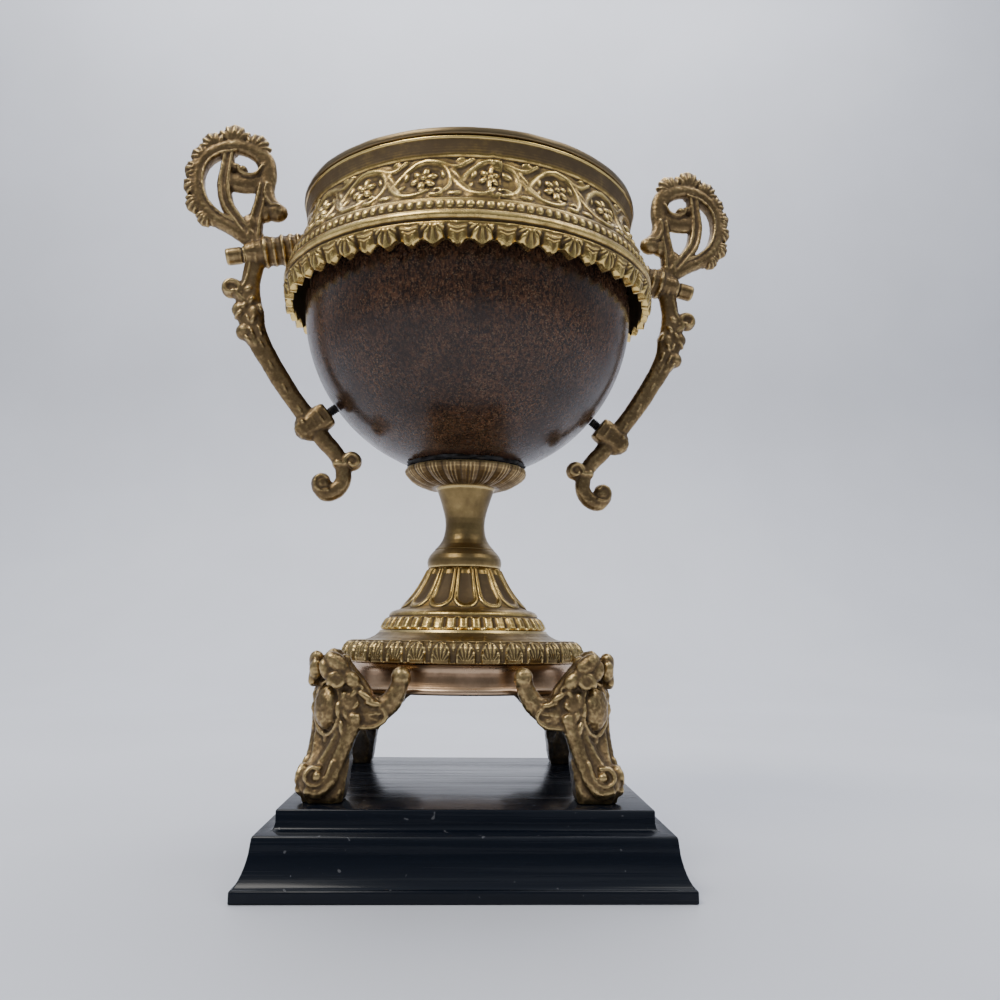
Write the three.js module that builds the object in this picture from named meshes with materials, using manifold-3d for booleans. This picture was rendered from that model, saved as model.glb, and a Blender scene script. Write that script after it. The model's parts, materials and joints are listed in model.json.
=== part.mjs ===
// Mantel urn: a ball-shaped glazed bowl in brass mounts, on a turned and cast brass foot with
// four corner legs, standing on a black square plinth. Millimetres, +Z up, front towards -Y,
// origin at the middle of the plinth's underside.

import * as THREE from "three";
import { mergeVertices } from "three/addons/utils/BufferGeometryUtils.js";
import Module from "manifold-3d";

const wasm = await Module();
wasm.setup();

// ---------------------------------------------------------------- driving dimensions

const GAP = 0.3; // clearance between two pieces that touch
const UP = 30; // plinth height; every height below is measured from its top face

const PLINTH = {
  topHalf: 70.8,
  ledgeHalf: 77.3,
  footHalf: 83.5,
  topThick: 6.2,
  ledgeDrop: 8,
  footThick: 4.5,
  shift: 2.5, // the urn stands this much left of the plinth's middle
};

const DRUM = { bottom: 40, top: 52.2, radius: 53.6, waist: 51.2, segments: 24 };
const COVER = { leaves: 36, ringRadius: 55, domeRadius: 38.2, top: 66.1 };
const CONE = { flutes: 16, bottom: 66.4, baseRadius: 37.6, top: 94.4, topRadius: 16.9 };
const STEM = { bottom: 94.7, top: 132.4, waist: 9.2, segments: 16 };
const CALYX = { bottom: 132.7, foot: 14, radius: 28.2, lobes: 16 };
const BOWL = { radius: 78, centre: 217.5, wall: 4, neck: 71.5, rim: 266.2 };
const SEAT = { inner: 13, outer: 29, thick: 1.7, segments: 16 };
const GALLERY = { scallops: 56, flowers: 18, top: 266.5, tips: 214.2, tipRise: 3.6 };
const RIM = { bottom: 266.8, top: 270.4, outer: 80.6, inner: 66.5, segments: 28 };

const LEG = { shelfTop: DRUM.bottom - GAP, shelfThick: 3, drumClear: DRUM.radius + GAP };
const HANDLE = { turn: THREE.MathUtils.degToRad(7.5), depth: 4 };
const STUD = { radius: 4, length: 9, shank: 2.4, shankLength: 12, tilt: THREE.MathUtils.degToRad(-12) };
const SCREW = { radius: 2.2, inBoss: 6 };

// ---------------------------------------------------------------- materials

const brass = (color, roughness = 0.42) =>
  new THREE.MeshStandardMaterial({ color, roughness, metalness: 0.9 });
const MATERIALS = {
  plinth: new THREE.MeshStandardMaterial({ color: 0x10141b, roughness: 0.18, metalness: 0 }),
  bowl: new THREE.MeshStandardMaterial({ color: 0x3a241b, roughness: 0.12, metalness: 0 }),
  seat: new THREE.MeshStandardMaterial({ color: 0x151311, roughness: 0.8, metalness: 0 }),
  screw: new THREE.MeshStandardMaterial({ color: 0x17171a, roughness: 0.5, metalness: 0.7 }),
  castBrass: brass(0x8a6f3e, 0.5),
  turnedBrass: brass(0xa08245),
  drumBrass: brass(0x98714a, 0.35),
};

// ---------------------------------------------------------------- making solids

/** Drops everything but the vertices, and joins those that coincide. */
function welded(geometry) {
  geometry.deleteAttribute("normal");
  geometry.deleteAttribute("uv");
  return mergeVertices(geometry, 1e-4);
}

/** A geometry as a manifold solid, with its faces turned outwards. */
function solid(geometry) {
  const g = welded(geometry);
  const vertProperties = new Float32Array(g.attributes.position.array);
  const triVerts = new Uint32Array(g.index.array);
  const made = new wasm.Manifold(new wasm.Mesh({ numProp: 3, vertProperties, triVerts }));
  if (made.volume() > 0) return made;
  for (let i = 0; i < triVerts.length; i += 3) {
    [triVerts[i + 1], triVerts[i + 2]] = [triVerts[i + 2], triVerts[i + 1]];
  }
  return new wasm.Manifold(new wasm.Mesh({ numProp: 3, vertProperties, triVerts }));
}

/** A manifold solid as a three.js geometry. */
function geometryOf(body) {
  const mesh = body.getMesh();
  const geometry = new THREE.BufferGeometry();
  geometry.setAttribute("position", new THREE.BufferAttribute(new Float32Array(mesh.vertProperties), 3));
  geometry.setIndex(new THREE.BufferAttribute(new Uint32Array(mesh.triVerts), 1));
  return geometry;
}

const joined = (parts) => parts.reduce((sum, part) => sum.add(part));

/** Moves each vertex in cylinder terms: move(turn from the front, radius, height) gives both anew. */
function shaped(geometry, move) {
  const p = geometry.attributes.position;
  for (let i = 0; i < p.count; i++) {
    const [x, y, z] = [p.getX(i), p.getY(i), p.getZ(i)];
    const r = Math.hypot(x, y);
    if (r < 1e-6) continue;
    const [newR, newZ] = move(Math.atan2(x, -y), r, z);
    p.setXYZ(i, (x * newR) / r, (y * newR) / r, newZ);
  }
  return geometry;
}

/** A turned solid: pairs of [radius, height above the plinth], round its whole section. */
function turned(pairs, segments, move = null) {
  const points = pairs.map(([r, h]) => new THREE.Vector2(r, h));
  if (pairs[0][0] > 0) points.push(points[0].clone());
  const geometry = new THREE.LatheGeometry(points, segments).rotateX(Math.PI / 2);
  return solid(move ? shaped(welded(geometry), move) : geometry);
}

/** A flat bar bent along a plane curve in XZ; halfWidths lie in that plane, halfDepth across it. */
function bentRod(points, halfWidths, halfDepth, steps) {
  const curve = new THREE.CatmullRomCurve3(points.map(([x, h]) => new THREE.Vector3(x, 0, h)));
  const widths = new THREE.CatmullRomCurve3(halfWidths.map((w, i) => new THREE.Vector3(i, w, 0)));
  const sides = 4;
  const prism = new THREE.CylinderGeometry(Math.SQRT2, Math.SQRT2, 1, sides, steps);
  prism.rotateY(Math.PI / sides);
  const geometry = welded(prism);
  const p = geometry.attributes.position;
  for (let i = 0; i < p.count; i++) {
    const t = THREE.MathUtils.clamp(p.getY(i) + 0.5, 0, 1);
    const at = curve.getPoint(t);
    const along = curve.getTangent(t);
    const half = widths.getPoint(t).y;
    const across = p.getX(i) * half;
    p.setXYZ(i, at.x - along.z * across, p.getZ(i) * halfDepth, at.z + along.x * across);
  }
  return solid(geometry);
}

/** A faceted round knob with the given half sizes. */
const knob = ([x, y, z], [a, b, c]) =>
  solid(new THREE.IcosahedronGeometry(1, 0).scale(a, b, c).translate(x, y, z));

/** A sharper, eight-sided bud with the given half sizes. */
const bud = ([x, y, z], [a, b, c]) =>
  solid(new THREE.OctahedronGeometry(1, 0).scale(a, b, c).translate(x, y, z));

/** A round pin in the XZ plane from one [x, height] to another. */
function pin(from, to, radius, sides = 8) {
  const [a, b] = [new THREE.Vector3(from[0], 0, from[1]), new THREE.Vector3(to[0], 0, to[1])];
  const geometry = new THREE.CylinderGeometry(radius, radius, a.distanceTo(b), sides);
  const turn = new THREE.Quaternion().setFromUnitVectors(
    new THREE.Vector3(0, 1, 0),
    b.clone().sub(a).normalize(),
  );
  const middle = a.add(b).multiplyScalar(0.5);
  return solid(geometry.applyQuaternion(turn).translate(middle.x, middle.y, middle.z));
}

/** Points of a circle's arc as [radius, height] pairs, from one angle to another in degrees. */
function arc(radius, centre, fromDegrees, toDegrees, steps) {
  return Array.from({ length: steps + 1 }, (_, i) => {
    const a = THREE.MathUtils.degToRad(THREE.MathUtils.lerp(fromDegrees, toDegrees, i / steps));
    return [radius * Math.cos(a), centre + radius * Math.sin(a)];
  });
}

const ripple = (turn, count) => Math.cos(turn * count);
const bump = (x, middle, width) => Math.exp(-(((x - middle) / width) ** 2));

// ---------------------------------------------------------------- plinth

/** The square plinth: a thin top block on a wider one that flares to its foot. */
function plinth() {
  const { topHalf, ledgeHalf, footHalf, topThick, ledgeDrop, footThick } = PLINTH;
  const edge = 0.7;
  const section = [
    [0, -UP],
    [footHalf, -UP],
    [footHalf, -UP + footThick],
    [footHalf - 1.5, -UP + footThick + 1],
    [footHalf - 3.2, -UP + footThick + 4.6],
    [footHalf - 4.9, -UP + footThick + 8.8],
    [ledgeHalf + 0.5, -ledgeDrop - 2],
    [ledgeHalf, -ledgeDrop],
    [topHalf + 1.4, -topThick - 0.6],
    [topHalf, -topThick],
    [topHalf, -edge],
    [topHalf - edge, 0],
    [0, 0],
  ];
  const square = section.map(([half, h]) => [half * Math.SQRT2, h]);
  return turned(square, 4).rotate([0, 0, 45]).translate([PLINTH.shift, 0, 0]);
}

// ---------------------------------------------------------------- legs

// The leg's outline, level by level above the plinth: how far its outer faces stand from the
// axis, how far it runs along each face, its thickness, and how much the corner is flattened.
const LEG_LEVELS = [
  { h: GAP, reach: 61.2, run: 16, thick: 14, flat: 2 },
  { h: 11, reach: 61.8, run: 17.5, thick: 15, flat: 1.5 },
  { h: 15, reach: 60.2, run: 17, thick: 12, flat: 3 },
  { h: 19, reach: 59.2, run: 16, thick: 10, flat: 6 },
  { h: 27, reach: 58.9, run: 19, thick: 9, flat: 10 },
  { h: 31, reach: 59, run: 26, thick: 9, flat: 11 },
  { h: 42, reach: 59.3, run: 23, thick: 9, flat: 11 },
  { h: 50, reach: 57.5, run: 15, thick: 8, flat: 8 },
  { h: 55, reach: 55.5, run: 9, thick: 6, flat: 4.5 },
  { h: 58.4, reach: 53.5, run: 4.5, thick: 3.4, flat: 2 },
];

/** The leg's corner post, lofted through its levels as an L that wraps the corner. */
function legPost() {
  const sides = 8;
  const geometry = welded(new THREE.CylinderGeometry(1, 1, 1, sides, LEG_LEVELS.length - 1));
  const p = geometry.attributes.position;
  const last = LEG_LEVELS.length - 1;
  for (let i = 0; i < p.count; i++) {
    const level = LEG_LEVELS[Math.round((p.getY(i) + 0.5) * last)];
    const { reach, run, thick, flat } = level;
    const inner = reach - thick;
    const [tip, root] = [reach - run, Math.max(reach - run, inner - 3)];
    const outline = [
      [-reach + flat, -reach],
      [-tip, -reach + 0.8],
      [-tip, -inner],
      [-root, -inner],
      [-inner, -root],
      [-inner, -tip],
      [-reach + 0.8, -tip],
      [-reach, -reach + flat],
    ];
    const centre = Math.hypot(p.getX(i), p.getZ(i)) < 0.5;
    const slot = Math.round((Math.atan2(p.getX(i), p.getZ(i)) / (2 * Math.PI)) * sides + sides) % sides;
    const middle = -(reach - thick / 2);
    const [x, y] = centre ? [middle, middle] : outline[slot];
    p.setXYZ(i, x, y, level.h);
  }
  return solid(geometry);
}

/** One side of a leg, along the front face: the wing under the drum, its knobs, leaf and volute. */
function legSide() {
  const wingFace = -55;
  const wing = bentRod(
    [[-46, 35], [-36, 34], [-28.6, 35.8], [-23.4, 40.6], [-22.6, 46]],
    [7, 6, 5, 3.8, 3.2],
    3.6,
    4,
  ).translate([0, wingFace, 0]);
  const volute = new THREE.CylinderGeometry(6.6, 6.6, 4, 6).translate(-55, -61.3, 7.3);
  return joined([
    wing,
    knob([-23, wingFace, 47], [4.2, 4, 4.4]),
    bud([-48, -57.5, 47], [11, 8, 10]),
    solid(volute),
  ]);
}

/** A whole leg: post, both sides, crest, the oval on its corner and the shelf that takes the drum. */
function leg() {
  const side = legSide();
  const corners = [[-50, -50], [-22, -50], [-33, -33], [-50, -22]];
  const shelfOutline = new THREE.Shape(corners.map(([x, y]) => new THREE.Vector2(x, y)));
  const shelf = solid(
    new THREE.ExtrudeGeometry(shelfOutline, { depth: LEG.shelfThick, bevelEnabled: false })
      .translate(0, 0, LEG.shelfTop - LEG.shelfThick),
  );
  const turnToCorner = [0, 0, -45];
  const oval = knob([0, -74.6, 34.8], [5.2, 3.8, 8.8]).rotate(turnToCorner);
  const crest = bud([0, -73.6, 51.5], [7, 5.2, 10]).rotate(turnToCorner);
  const drumRoom = solid(
    new THREE.CylinderGeometry(LEG.drumClear, LEG.drumClear, 60, DRUM.segments)
      .rotateX(Math.PI / 2)
      .translate(0, 0, LEG.shelfTop + 30 + GAP / 2),
  );
  return joined([legPost(), side, side.mirror([1, -1, 0]), shelf, oval, crest]).subtract(drumRoom);
}

// ---------------------------------------------------------------- foot

/** The plain drum between the legs, slightly waisted, on a thin fillet. */
function drum() {
  const { bottom, top, radius, waist, segments } = DRUM;
  return turned(
    [
      [0, bottom],
      [radius - 0.6, bottom],
      [radius - 0.4, bottom + 2.6],
      [waist + 0.4, bottom + 4.6],
      [waist, bottom + 9],
      [radius - 0.6, top],
      [0, top],
    ],
    segments,
  );
}

/** The foot's cover: a ring of water leaves round a swept-up dome. */
function footCover() {
  const { leaves, ringRadius, domeRadius, top } = COVER;
  const base = DRUM.top + GAP;
  const section = [
    [0, base],
    [ringRadius - 1.4, base],
    [ringRadius, base + 4],
    [ringRadius - 3.6, base + 8.2],
    [domeRadius + 1.4, base + 10.8],
    [domeRadius, top],
    [0, top],
  ];
  const leafDepth = 0.7;
  return turned(section, leaves * 2, (turn, r, h) => {
    const onLeaf = h > base + 1 && h < base + 7;
    return [onLeaf ? r + leafDepth * ripple(turn, leaves) : r, h];
  });
}

/** The fluted cone, over its egg band and bead. */
function flutedCone() {
  const { flutes, bottom, baseRadius, top, topRadius } = CONE;
  const section = [
    [0, bottom],
    [baseRadius, bottom],
    [baseRadius - 1, bottom + 3.4],
    [baseRadius - 5.4, bottom + 7.4],
    [baseRadius - 8, bottom + 9.6],
    [24.4, bottom + 14.8],
    [19.4, bottom + 21],
    [topRadius, top],
    [0, top],
  ];
  const hollow = 1.3;
  return turned(section, flutes * 3, (turn, r, h) => {
    const along = bump(h, bottom + 16, 6);
    const sunk = Math.max(0, ripple(turn, flutes)) * hollow * along;
    return [r - sunk, h];
  });
}

/** The turned stem: a waisted baluster over a bulge with an incised line. */
function stem() {
  const { bottom, top, waist, segments } = STEM;
  const section = [
    [0, bottom],
    [16.8, bottom],
    [17.4, bottom + 3.2],
    [16.8, bottom + 5.6],
    [14.2, bottom + 9.4],
    [11.8, bottom + 12.9],
    [10.2, bottom + 16.8],
    [waist, bottom + 20.6],
    [waist, bottom + 24.4],
    [10, bottom + 28.6],
    [11.9, bottom + 32.6],
    [13.8, top],
    [0, top],
  ];
  return turned(section, segments);
}

/** The leafy cup that takes the bowl; its hollow top follows the ball. */
function calyx() {
  const { bottom, foot, radius, lobes } = CALYX;
  const cup = BOWL.radius + SEAT.thick + 3 * GAP;
  const lift = (r) => BOWL.centre - Math.sqrt(cup ** 2 - r ** 2);
  const section = [
    [0, bottom],
    [foot, bottom],
    [foot + 3.4, bottom + 2.4],
    [foot + 9.6, bottom + 5.2],
    [radius, bottom + 7.6],
    [radius - 0.6, lift(radius - 0.6)],
    [radius / 2, lift(radius / 2)],
    [0, lift(0)],
  ];
  return turned(section, lobes * 2, (turn, r, h) => {
    const onLeaf = h < bottom + 8 && r > foot + 1;
    return [onLeaf ? r + 0.9 * ripple(turn, lobes) * (r / radius) : r, h];
  });
}

/** The ring of dark bedding between cup and bowl. */
function seatRing() {
  const { inner, outer, thick, segments } = SEAT;
  const lift = (r, ball) => BOWL.centre - Math.sqrt(ball ** 2 - r ** 2);
  const [over, under] = [BOWL.radius + GAP, BOWL.radius + GAP + thick];
  const section = [
    [inner, lift(inner, under)],
    [(inner + outer) / 2, lift((inner + outer) / 2, under)],
    [outer, lift(outer, under)],
    [outer, lift(outer, over)],
    [(inner + outer) / 2, lift((inner + outer) / 2, over)],
    [inner, lift(inner, over)],
  ];
  const ragged = 0.5;
  return turned(section, segments, (turn, r, h) => [
    r > outer - 1 ? r + ragged * Math.sin(turn * 5 + 1) * Math.cos(turn * 3) : r,
    h,
  ]);
}

// ---------------------------------------------------------------- bowl and its mounts

/** The hollow ball of the bowl, open above in a short straight neck. */
function bowl() {
  const { radius, centre, wall, neck, rim } = BOWL;
  const shoulder = THREE.MathUtils.radToDeg(Math.acos(neck / radius));
  const innerNeck = neck - wall;
  const innerShoulder = THREE.MathUtils.radToDeg(Math.acos(innerNeck / (radius - wall)));
  const outside = arc(radius, centre, -90, shoulder, 7);
  const inside = arc(radius - wall, centre, innerShoulder, -90, 5);
  outside[0][0] = 0;
  inside[inside.length - 1][0] = 0;
  return turned([...outside, [neck, rim], [innerNeck, rim], ...inside], 26);
}

/** The cast mount round the mouth: scalloped skirt, half-round moulding and flowered frieze. */
function gallery() {
  const { scallops, flowers, top, tips, tipRise } = GALLERY;
  const skirtTop = 225.4;
  const skirt = turned(
    [
      [84, tips],
      [86.2, tips],
      [87.8, skirtTop],
      [84.8, skirtTop],
    ],
    scallops * 2,
    (turn, r, h) => {
      const tip = ripple(turn, scallops) > 0;
      const fan = ripple(turn, scallops / 2) > 0;
      if (h < tips + 1) return [tip && fan ? r + 0.4 : r, tip ? h : h + tipRise];
      return [r, h];
    },
  );
  const band = turned(
    [
      [85.3, 224.6],
      [86.6, 224.6],
      [88.8, 227.8],
      [87.2, 231.4],
      [85.6, 236.4],
      [80.6, 244],
      [77.8, 251],
      [79.7, top],
      [72.4, top],
      [74.8, 250],
      [83.2, 233],
    ],
    flowers * 2,
    (turn, r, h) => {
      const onFrieze = bump(h, 246.4, 4.6) * (r > 76 ? 1 : 0);
      return [r + 1.2 * onFrieze * Math.max(0, ripple(turn, flowers)), h];
    },
  );
  return skirt.add(band);
}

/** The thin turned rim that caps the mouth. */
function mouthRim() {
  const { bottom, top, outer, inner, segments } = RIM;
  return turned(
    [
      [inner, bottom],
      [outer, bottom + 0.6],
      [outer - 0.6, top],
      [inner, top - 0.6],
    ],
    segments,
  );
}

// ---------------------------------------------------------------- handles

const STUD_AXIS = { x: 106.6, h: 241.2 };
const BOSS_FACE = new THREE.Vector2(65.3, 166.3);

/** The unit direction from the lower boss to the bowl's centre. */
const towardsBowl = () => new THREE.Vector2(0, BOWL.centre).sub(BOSS_FACE).normalize();

/** The pierced scroll at the head of a handle, edged with small shells. */
function handleHead() {
  const { depth } = HANDLE;
  const ring = bentRod(
    [[104.4, 248], [112.6, 254.4], [120.6, 258.4], [127.6, 266], [130.4, 276.6], [128.4, 287],
     [122.4, 294.6], [114.2, 298], [105, 295.4], [99.6, 288], [98.8, 279], [99.2, 271.5], [96, 265.8],
     [92.4, 264.2]],
    [3.6, 3.7, 4.2, 4.6, 4.6, 4.6, 4.8, 5.2, 4.8, 4.6, 4.1, 3.3, 3.2, 3.4],
    depth,
    13,
  );
  const outerScroll = bentRod(
    [[105, 250], [112.6, 260], [116.7, 270], [115.6, 281], [118.4, 291]],
    [3, 3, 3.2, 3.4, 3],
    3.2,
    5,
  );
  const innerScroll = bentRod(
    [[103.6, 248], [103, 259], [101, 268], [99.4, 276]],
    [4.4, 3.6, 3.2, 3.2],
    3.2,
    3,
  );
  const bridge = bentRod([[117, 279], [109.6, 277.2], [101, 277.6]], [4.6, 5.2, 5], 3, 2);
  // Each shell on the ring's rim: its angle and distance from the ring's middle, and its size.
  const middle = new THREE.Vector2(114.2, 279.5);
  const shells = [
    [-62, 26, 3.8], [-42, 23.6, 4.2], [-18, 20.2, 4.4], [6, 19, 4.6], [31, 19, 4.4], [58, 20.4, 5.2],
    [88, 22.2, 5.8], [119, 21, 5.4],
  ].map(([degrees, out, size]) => {
    const a = THREE.MathUtils.degToRad(degrees);
    return knob([middle.x + out * Math.cos(a), 0, middle.y + out * Math.sin(a)], [size, 2.8, size]);
  });
  return joined([
    ring,
    outerScroll,
    innerScroll,
    bridge,
    knob([92.3, 0, 264.2], [4.6, 4.2, 4.6]),
    bud([108.6, 0, 280.8], [5, 4.6, 5]),
    ...shells,
  ]);
}

/** The handle's shaft: leafy above, plain below, ending in a hooked volute. */
function handleShaft() {
  const shaft = bentRod(
    [[103.6, 250], [102, 243], [102.8, 235], [103.8, 228], [104.8, 219.5], [103.3, 211], [101, 204.4],
     [97.6, 197], [93, 189.4], [88, 181.4], [82.6, 173.6], [76.8, 166], [71.4, 159], [66.6, 153],
     [61.6, 147.6], [58.2, 141.6], [57.4, 135], [60.4, 130], [65, 128.5], [68.4, 131.2]],
    [5.4, 5.4, 4.6, 4.5, 7, 7.2, 6, 5.6, 5.1, 4.7, 4.4, 4.4, 4.4, 4.1, 3.8, 3.6, 3.5, 3.4, 3.2, 2.8],
    HANDLE.depth - 0.2,
    14,
  );
  return joined([
    shaft,
    knob([112.6, 0, 224.2], [5, 4.2, 4.9]),
    bentRod([[104.6, 220], [110, 222]], [3.4, 3], 3.4, 1),
    bud([104.6, 0, 203], [6.4, 4.6, 5.8]),
    knob([104, 0, 214.6], [7.8, 5, 7.4]),
    knob([67.4, 0, 133.6], [4, 4.2, 4]),
    knob([52.9, 0, 144.3], [4.6, 4.2, 4.5]),
    bentRod([[60, 143.6], [53.6, 144.2]], [3.2, 3], 3.4, 1),
  ]);
}

/** The [x, height] of a point on the stud's axis, t mm from the handle's outer face. */
function studPoint(t) {
  return [STUD_AXIS.x + t * Math.cos(STUD.tilt), STUD_AXIS.h + t * Math.sin(STUD.tilt)];
}

/** The ribbed distance piece cast on the handle's neck, and the square-ended boss below. */
function handleBosses() {
  const inward = towardsBowl();
  const back = BOSS_FACE.clone().addScaledVector(inward, -14);
  return [
    pin(studPoint(-29), studPoint(-1), 7.4),
    pin([BOSS_FACE.x, BOSS_FACE.y], [back.x, back.y], 6.6),
  ];
}

/** The outline that the handle is cut back to, where it meets the gallery. */
const galleryRoom = () =>
  turned(
    [[0, 200], [89.4, 200], [89.4, 229], [87.2, 236.6], [83.4, 243.4], [79.8, 249], [78.4, 255], [80.6, 272], [0, 272]],
    36,
  );

/** A whole handle in the XZ plane on the +X side, bored for its stud and its screw. */
function handle() {
  const inward = towardsBowl();
  const bore = BOSS_FACE.clone().addScaledVector(inward, -SCREW.inBoss - GAP);
  const past = BOSS_FACE.clone().addScaledVector(inward, 2);
  return joined([handleHead(), handleShaft(), ...handleBosses()])
    .subtract(galleryRoom())
    .subtract(pin(studPoint(-STUD.shankLength - GAP), studPoint(STUD.length), STUD.shank + 2 * GAP, 6))
    .subtract(pin(studPoint(GAP), studPoint(STUD.length + 6), STUD.radius + 2))
    .subtract(pin([bore.x, bore.y], [past.x, past.y], SCREW.radius + 2 * GAP, 6));
}

/** The stud that holds a handle's neck: a round head outside, its shank in the bore. */
const stud = () =>
  pin(studPoint(2 * GAP), studPoint(STUD.length), STUD.radius, 10).add(
    pin(studPoint(-STUD.shankLength), studPoint(1), STUD.shank, 6),
  );

/** The dark screw between a handle's lower boss and the bowl. */
function screw() {
  const inward = towardsBowl();
  const clear = BOSS_FACE.distanceTo(new THREE.Vector2(0, BOWL.centre)) - BOWL.radius - GAP;
  const from = BOSS_FACE.clone().addScaledVector(inward, -SCREW.inBoss);
  const to = BOSS_FACE.clone().addScaledVector(inward, clear);
  return pin([from.x, from.y], [to.x, to.y], SCREW.radius, 6);
}

// ---------------------------------------------------------------- the urn

const urn = new THREE.Group();

/** Adds one solid, built on the plinth's top face, as a named mesh. */
function place(name, body, material, turn = 0) {
  const mesh = new THREE.Mesh(geometryOf(body), material);
  mesh.name = name;
  mesh.position.z = UP;
  mesh.rotation.z = turn;
  urn.add(mesh);
}

place("plinth", plinth(), MATERIALS.plinth);

const legBody = leg();
["leg_front_left", "leg_front_right", "leg_back_right", "leg_back_left"].forEach((name, i) => {
  place(name, legBody, MATERIALS.castBrass, (i * Math.PI) / 2);
});

place("foot_drum", drum(), MATERIALS.drumBrass);
place("foot_cover", footCover(), MATERIALS.turnedBrass);
place("fluted_cone", flutedCone(), MATERIALS.castBrass);
place("stem", stem(), MATERIALS.turnedBrass);
place("calyx", calyx(), MATERIALS.castBrass);
place("bowl_seat", seatRing(), MATERIALS.seat);
place("bowl", bowl(), MATERIALS.bowl);
place("gallery", gallery(), MATERIALS.turnedBrass);
place("mouth_rim", mouthRim(), MATERIALS.castBrass);

const handleBody = handle();
[["right", 0], ["left", Math.PI]].forEach(([side, half]) => {
  const turn = HANDLE.turn + half;
  place(`handle_${side}`, handleBody, MATERIALS.castBrass, turn);
  place(`handle_stud_${side}`, stud(), MATERIALS.castBrass, turn);
  place(`handle_screw_${side}`, screw(), MATERIALS.screw, turn);
});

export default urn;
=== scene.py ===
"""Dresses the mantel urn: a glazed ball bowl in cast and turned brass mounts on a black plinth."""

import json
import logging
import math
from dataclasses import dataclass
from enum import Enum
from typing import Callable, Sequence

import bpy
import numpy as np
from mathutils import Matrix, Vector

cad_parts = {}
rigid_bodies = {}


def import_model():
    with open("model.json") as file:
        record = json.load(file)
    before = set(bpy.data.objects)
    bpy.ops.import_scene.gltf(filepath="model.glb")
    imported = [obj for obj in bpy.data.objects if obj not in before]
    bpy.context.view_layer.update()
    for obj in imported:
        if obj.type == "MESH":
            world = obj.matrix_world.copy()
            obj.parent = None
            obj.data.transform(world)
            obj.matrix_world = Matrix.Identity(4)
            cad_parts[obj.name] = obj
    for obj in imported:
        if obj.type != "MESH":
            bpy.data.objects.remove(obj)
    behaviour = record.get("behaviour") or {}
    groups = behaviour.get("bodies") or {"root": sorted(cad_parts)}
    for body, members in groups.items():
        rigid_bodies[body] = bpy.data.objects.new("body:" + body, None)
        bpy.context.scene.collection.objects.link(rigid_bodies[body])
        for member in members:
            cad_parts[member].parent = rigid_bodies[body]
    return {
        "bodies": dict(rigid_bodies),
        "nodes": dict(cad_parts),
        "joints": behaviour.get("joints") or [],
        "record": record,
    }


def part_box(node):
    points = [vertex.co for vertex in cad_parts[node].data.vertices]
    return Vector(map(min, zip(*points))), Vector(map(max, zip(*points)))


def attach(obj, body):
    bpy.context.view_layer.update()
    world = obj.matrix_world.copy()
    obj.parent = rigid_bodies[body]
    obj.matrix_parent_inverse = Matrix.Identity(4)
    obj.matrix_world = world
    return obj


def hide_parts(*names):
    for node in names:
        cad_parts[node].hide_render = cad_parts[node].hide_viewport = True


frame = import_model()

log = logging.getLogger("mantel_urn")

Array = np.ndarray
Point = Sequence[float]
Relief = Callable[[Array, Array, Array], tuple[Array, Array]]

MM = 0.001
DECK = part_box("plinth")[1].z / MM  # height of the plinth's top face; every height below counts from it
HANDLE_TURN = 7.5  # degrees that the handles stand turned back from the urn's sides
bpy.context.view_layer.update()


# ---------------------------------------------------------------- mesh tools


def only(*objects: bpy.types.Object) -> None:
    """Selects these objects alone, the first one active."""
    bpy.ops.object.select_all(action="DESELECT")
    for obj in objects:
        obj.select_set(True)
    if objects:
        bpy.context.view_layer.objects.active = objects[0]


def vertices(obj: bpy.types.Object) -> Array:
    """Returns the mesh's vertices as an (n, 3) array."""
    flat = np.empty(len(obj.data.vertices) * 3)
    obj.data.vertices.foreach_get("co", flat)
    return flat.reshape(-1, 3)


def lay(obj: bpy.types.Object, places: Array) -> None:
    """Moves the mesh's vertices to these places."""
    obj.data.vertices.foreach_set("co", np.ascontiguousarray(places, dtype=np.float64).ravel())
    obj.data.update()


def weld(obj: bpy.types.Object, reach: float = 1e-4) -> None:
    """Merges coinciding vertices and turns every face outwards."""
    only(obj)
    bpy.ops.object.mode_set(mode="EDIT")
    bpy.ops.mesh.select_all(action="SELECT")
    bpy.ops.mesh.remove_doubles(threshold=reach)
    bpy.ops.mesh.normals_make_consistent(inside=False)
    bpy.ops.object.mode_set(mode="OBJECT")


def wrapped(name: str, around: int, along: int, place: Callable[[Array, Array], Array]) -> bpy.types.Object:
    """Adds a grid and lays each of its vertices where place says, closing what meets.

    Args:
        name: The new object's name.
        around: Faces across the grid.
        along: Faces along the grid.
        place: Gives the (n, 3) places of the grid's (u, v), both from 0 to 1.

    Returns:
        The welded object.
    """
    only()
    bpy.ops.mesh.primitive_grid_add(x_subdivisions=around, y_subdivisions=along, size=1.0)
    obj = bpy.context.object
    obj.name = name
    flat = vertices(obj)
    lay(obj, place(flat[:, 0] + 0.5, flat[:, 1] + 0.5))
    weld(obj)
    return obj


def stepped(points: Sequence[Point], step: float) -> Array:
    """Returns points about a step apart along a polyline that keeps its corners.

    A third number on a point is the step of the stretch that ends there, and a stretch from or to
    the axis is one step.
    """
    rows = [np.array([points[0][:2]], dtype=float)]
    for start, stop in zip(points[:-1], points[1:]):
        a, b = np.array(start[:2], dtype=float), np.array(stop[:2], dtype=float)
        own = stop[2] if len(stop) > 2 else step
        count = 1 if 0 in (a[0], b[0]) else max(1, round(float(np.linalg.norm(b - a)) / own))
        share = np.linspace(0, 1, count + 1)[1:, None]
        rows.append(a + (b - a) * share)
    return np.vstack(rows)


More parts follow.
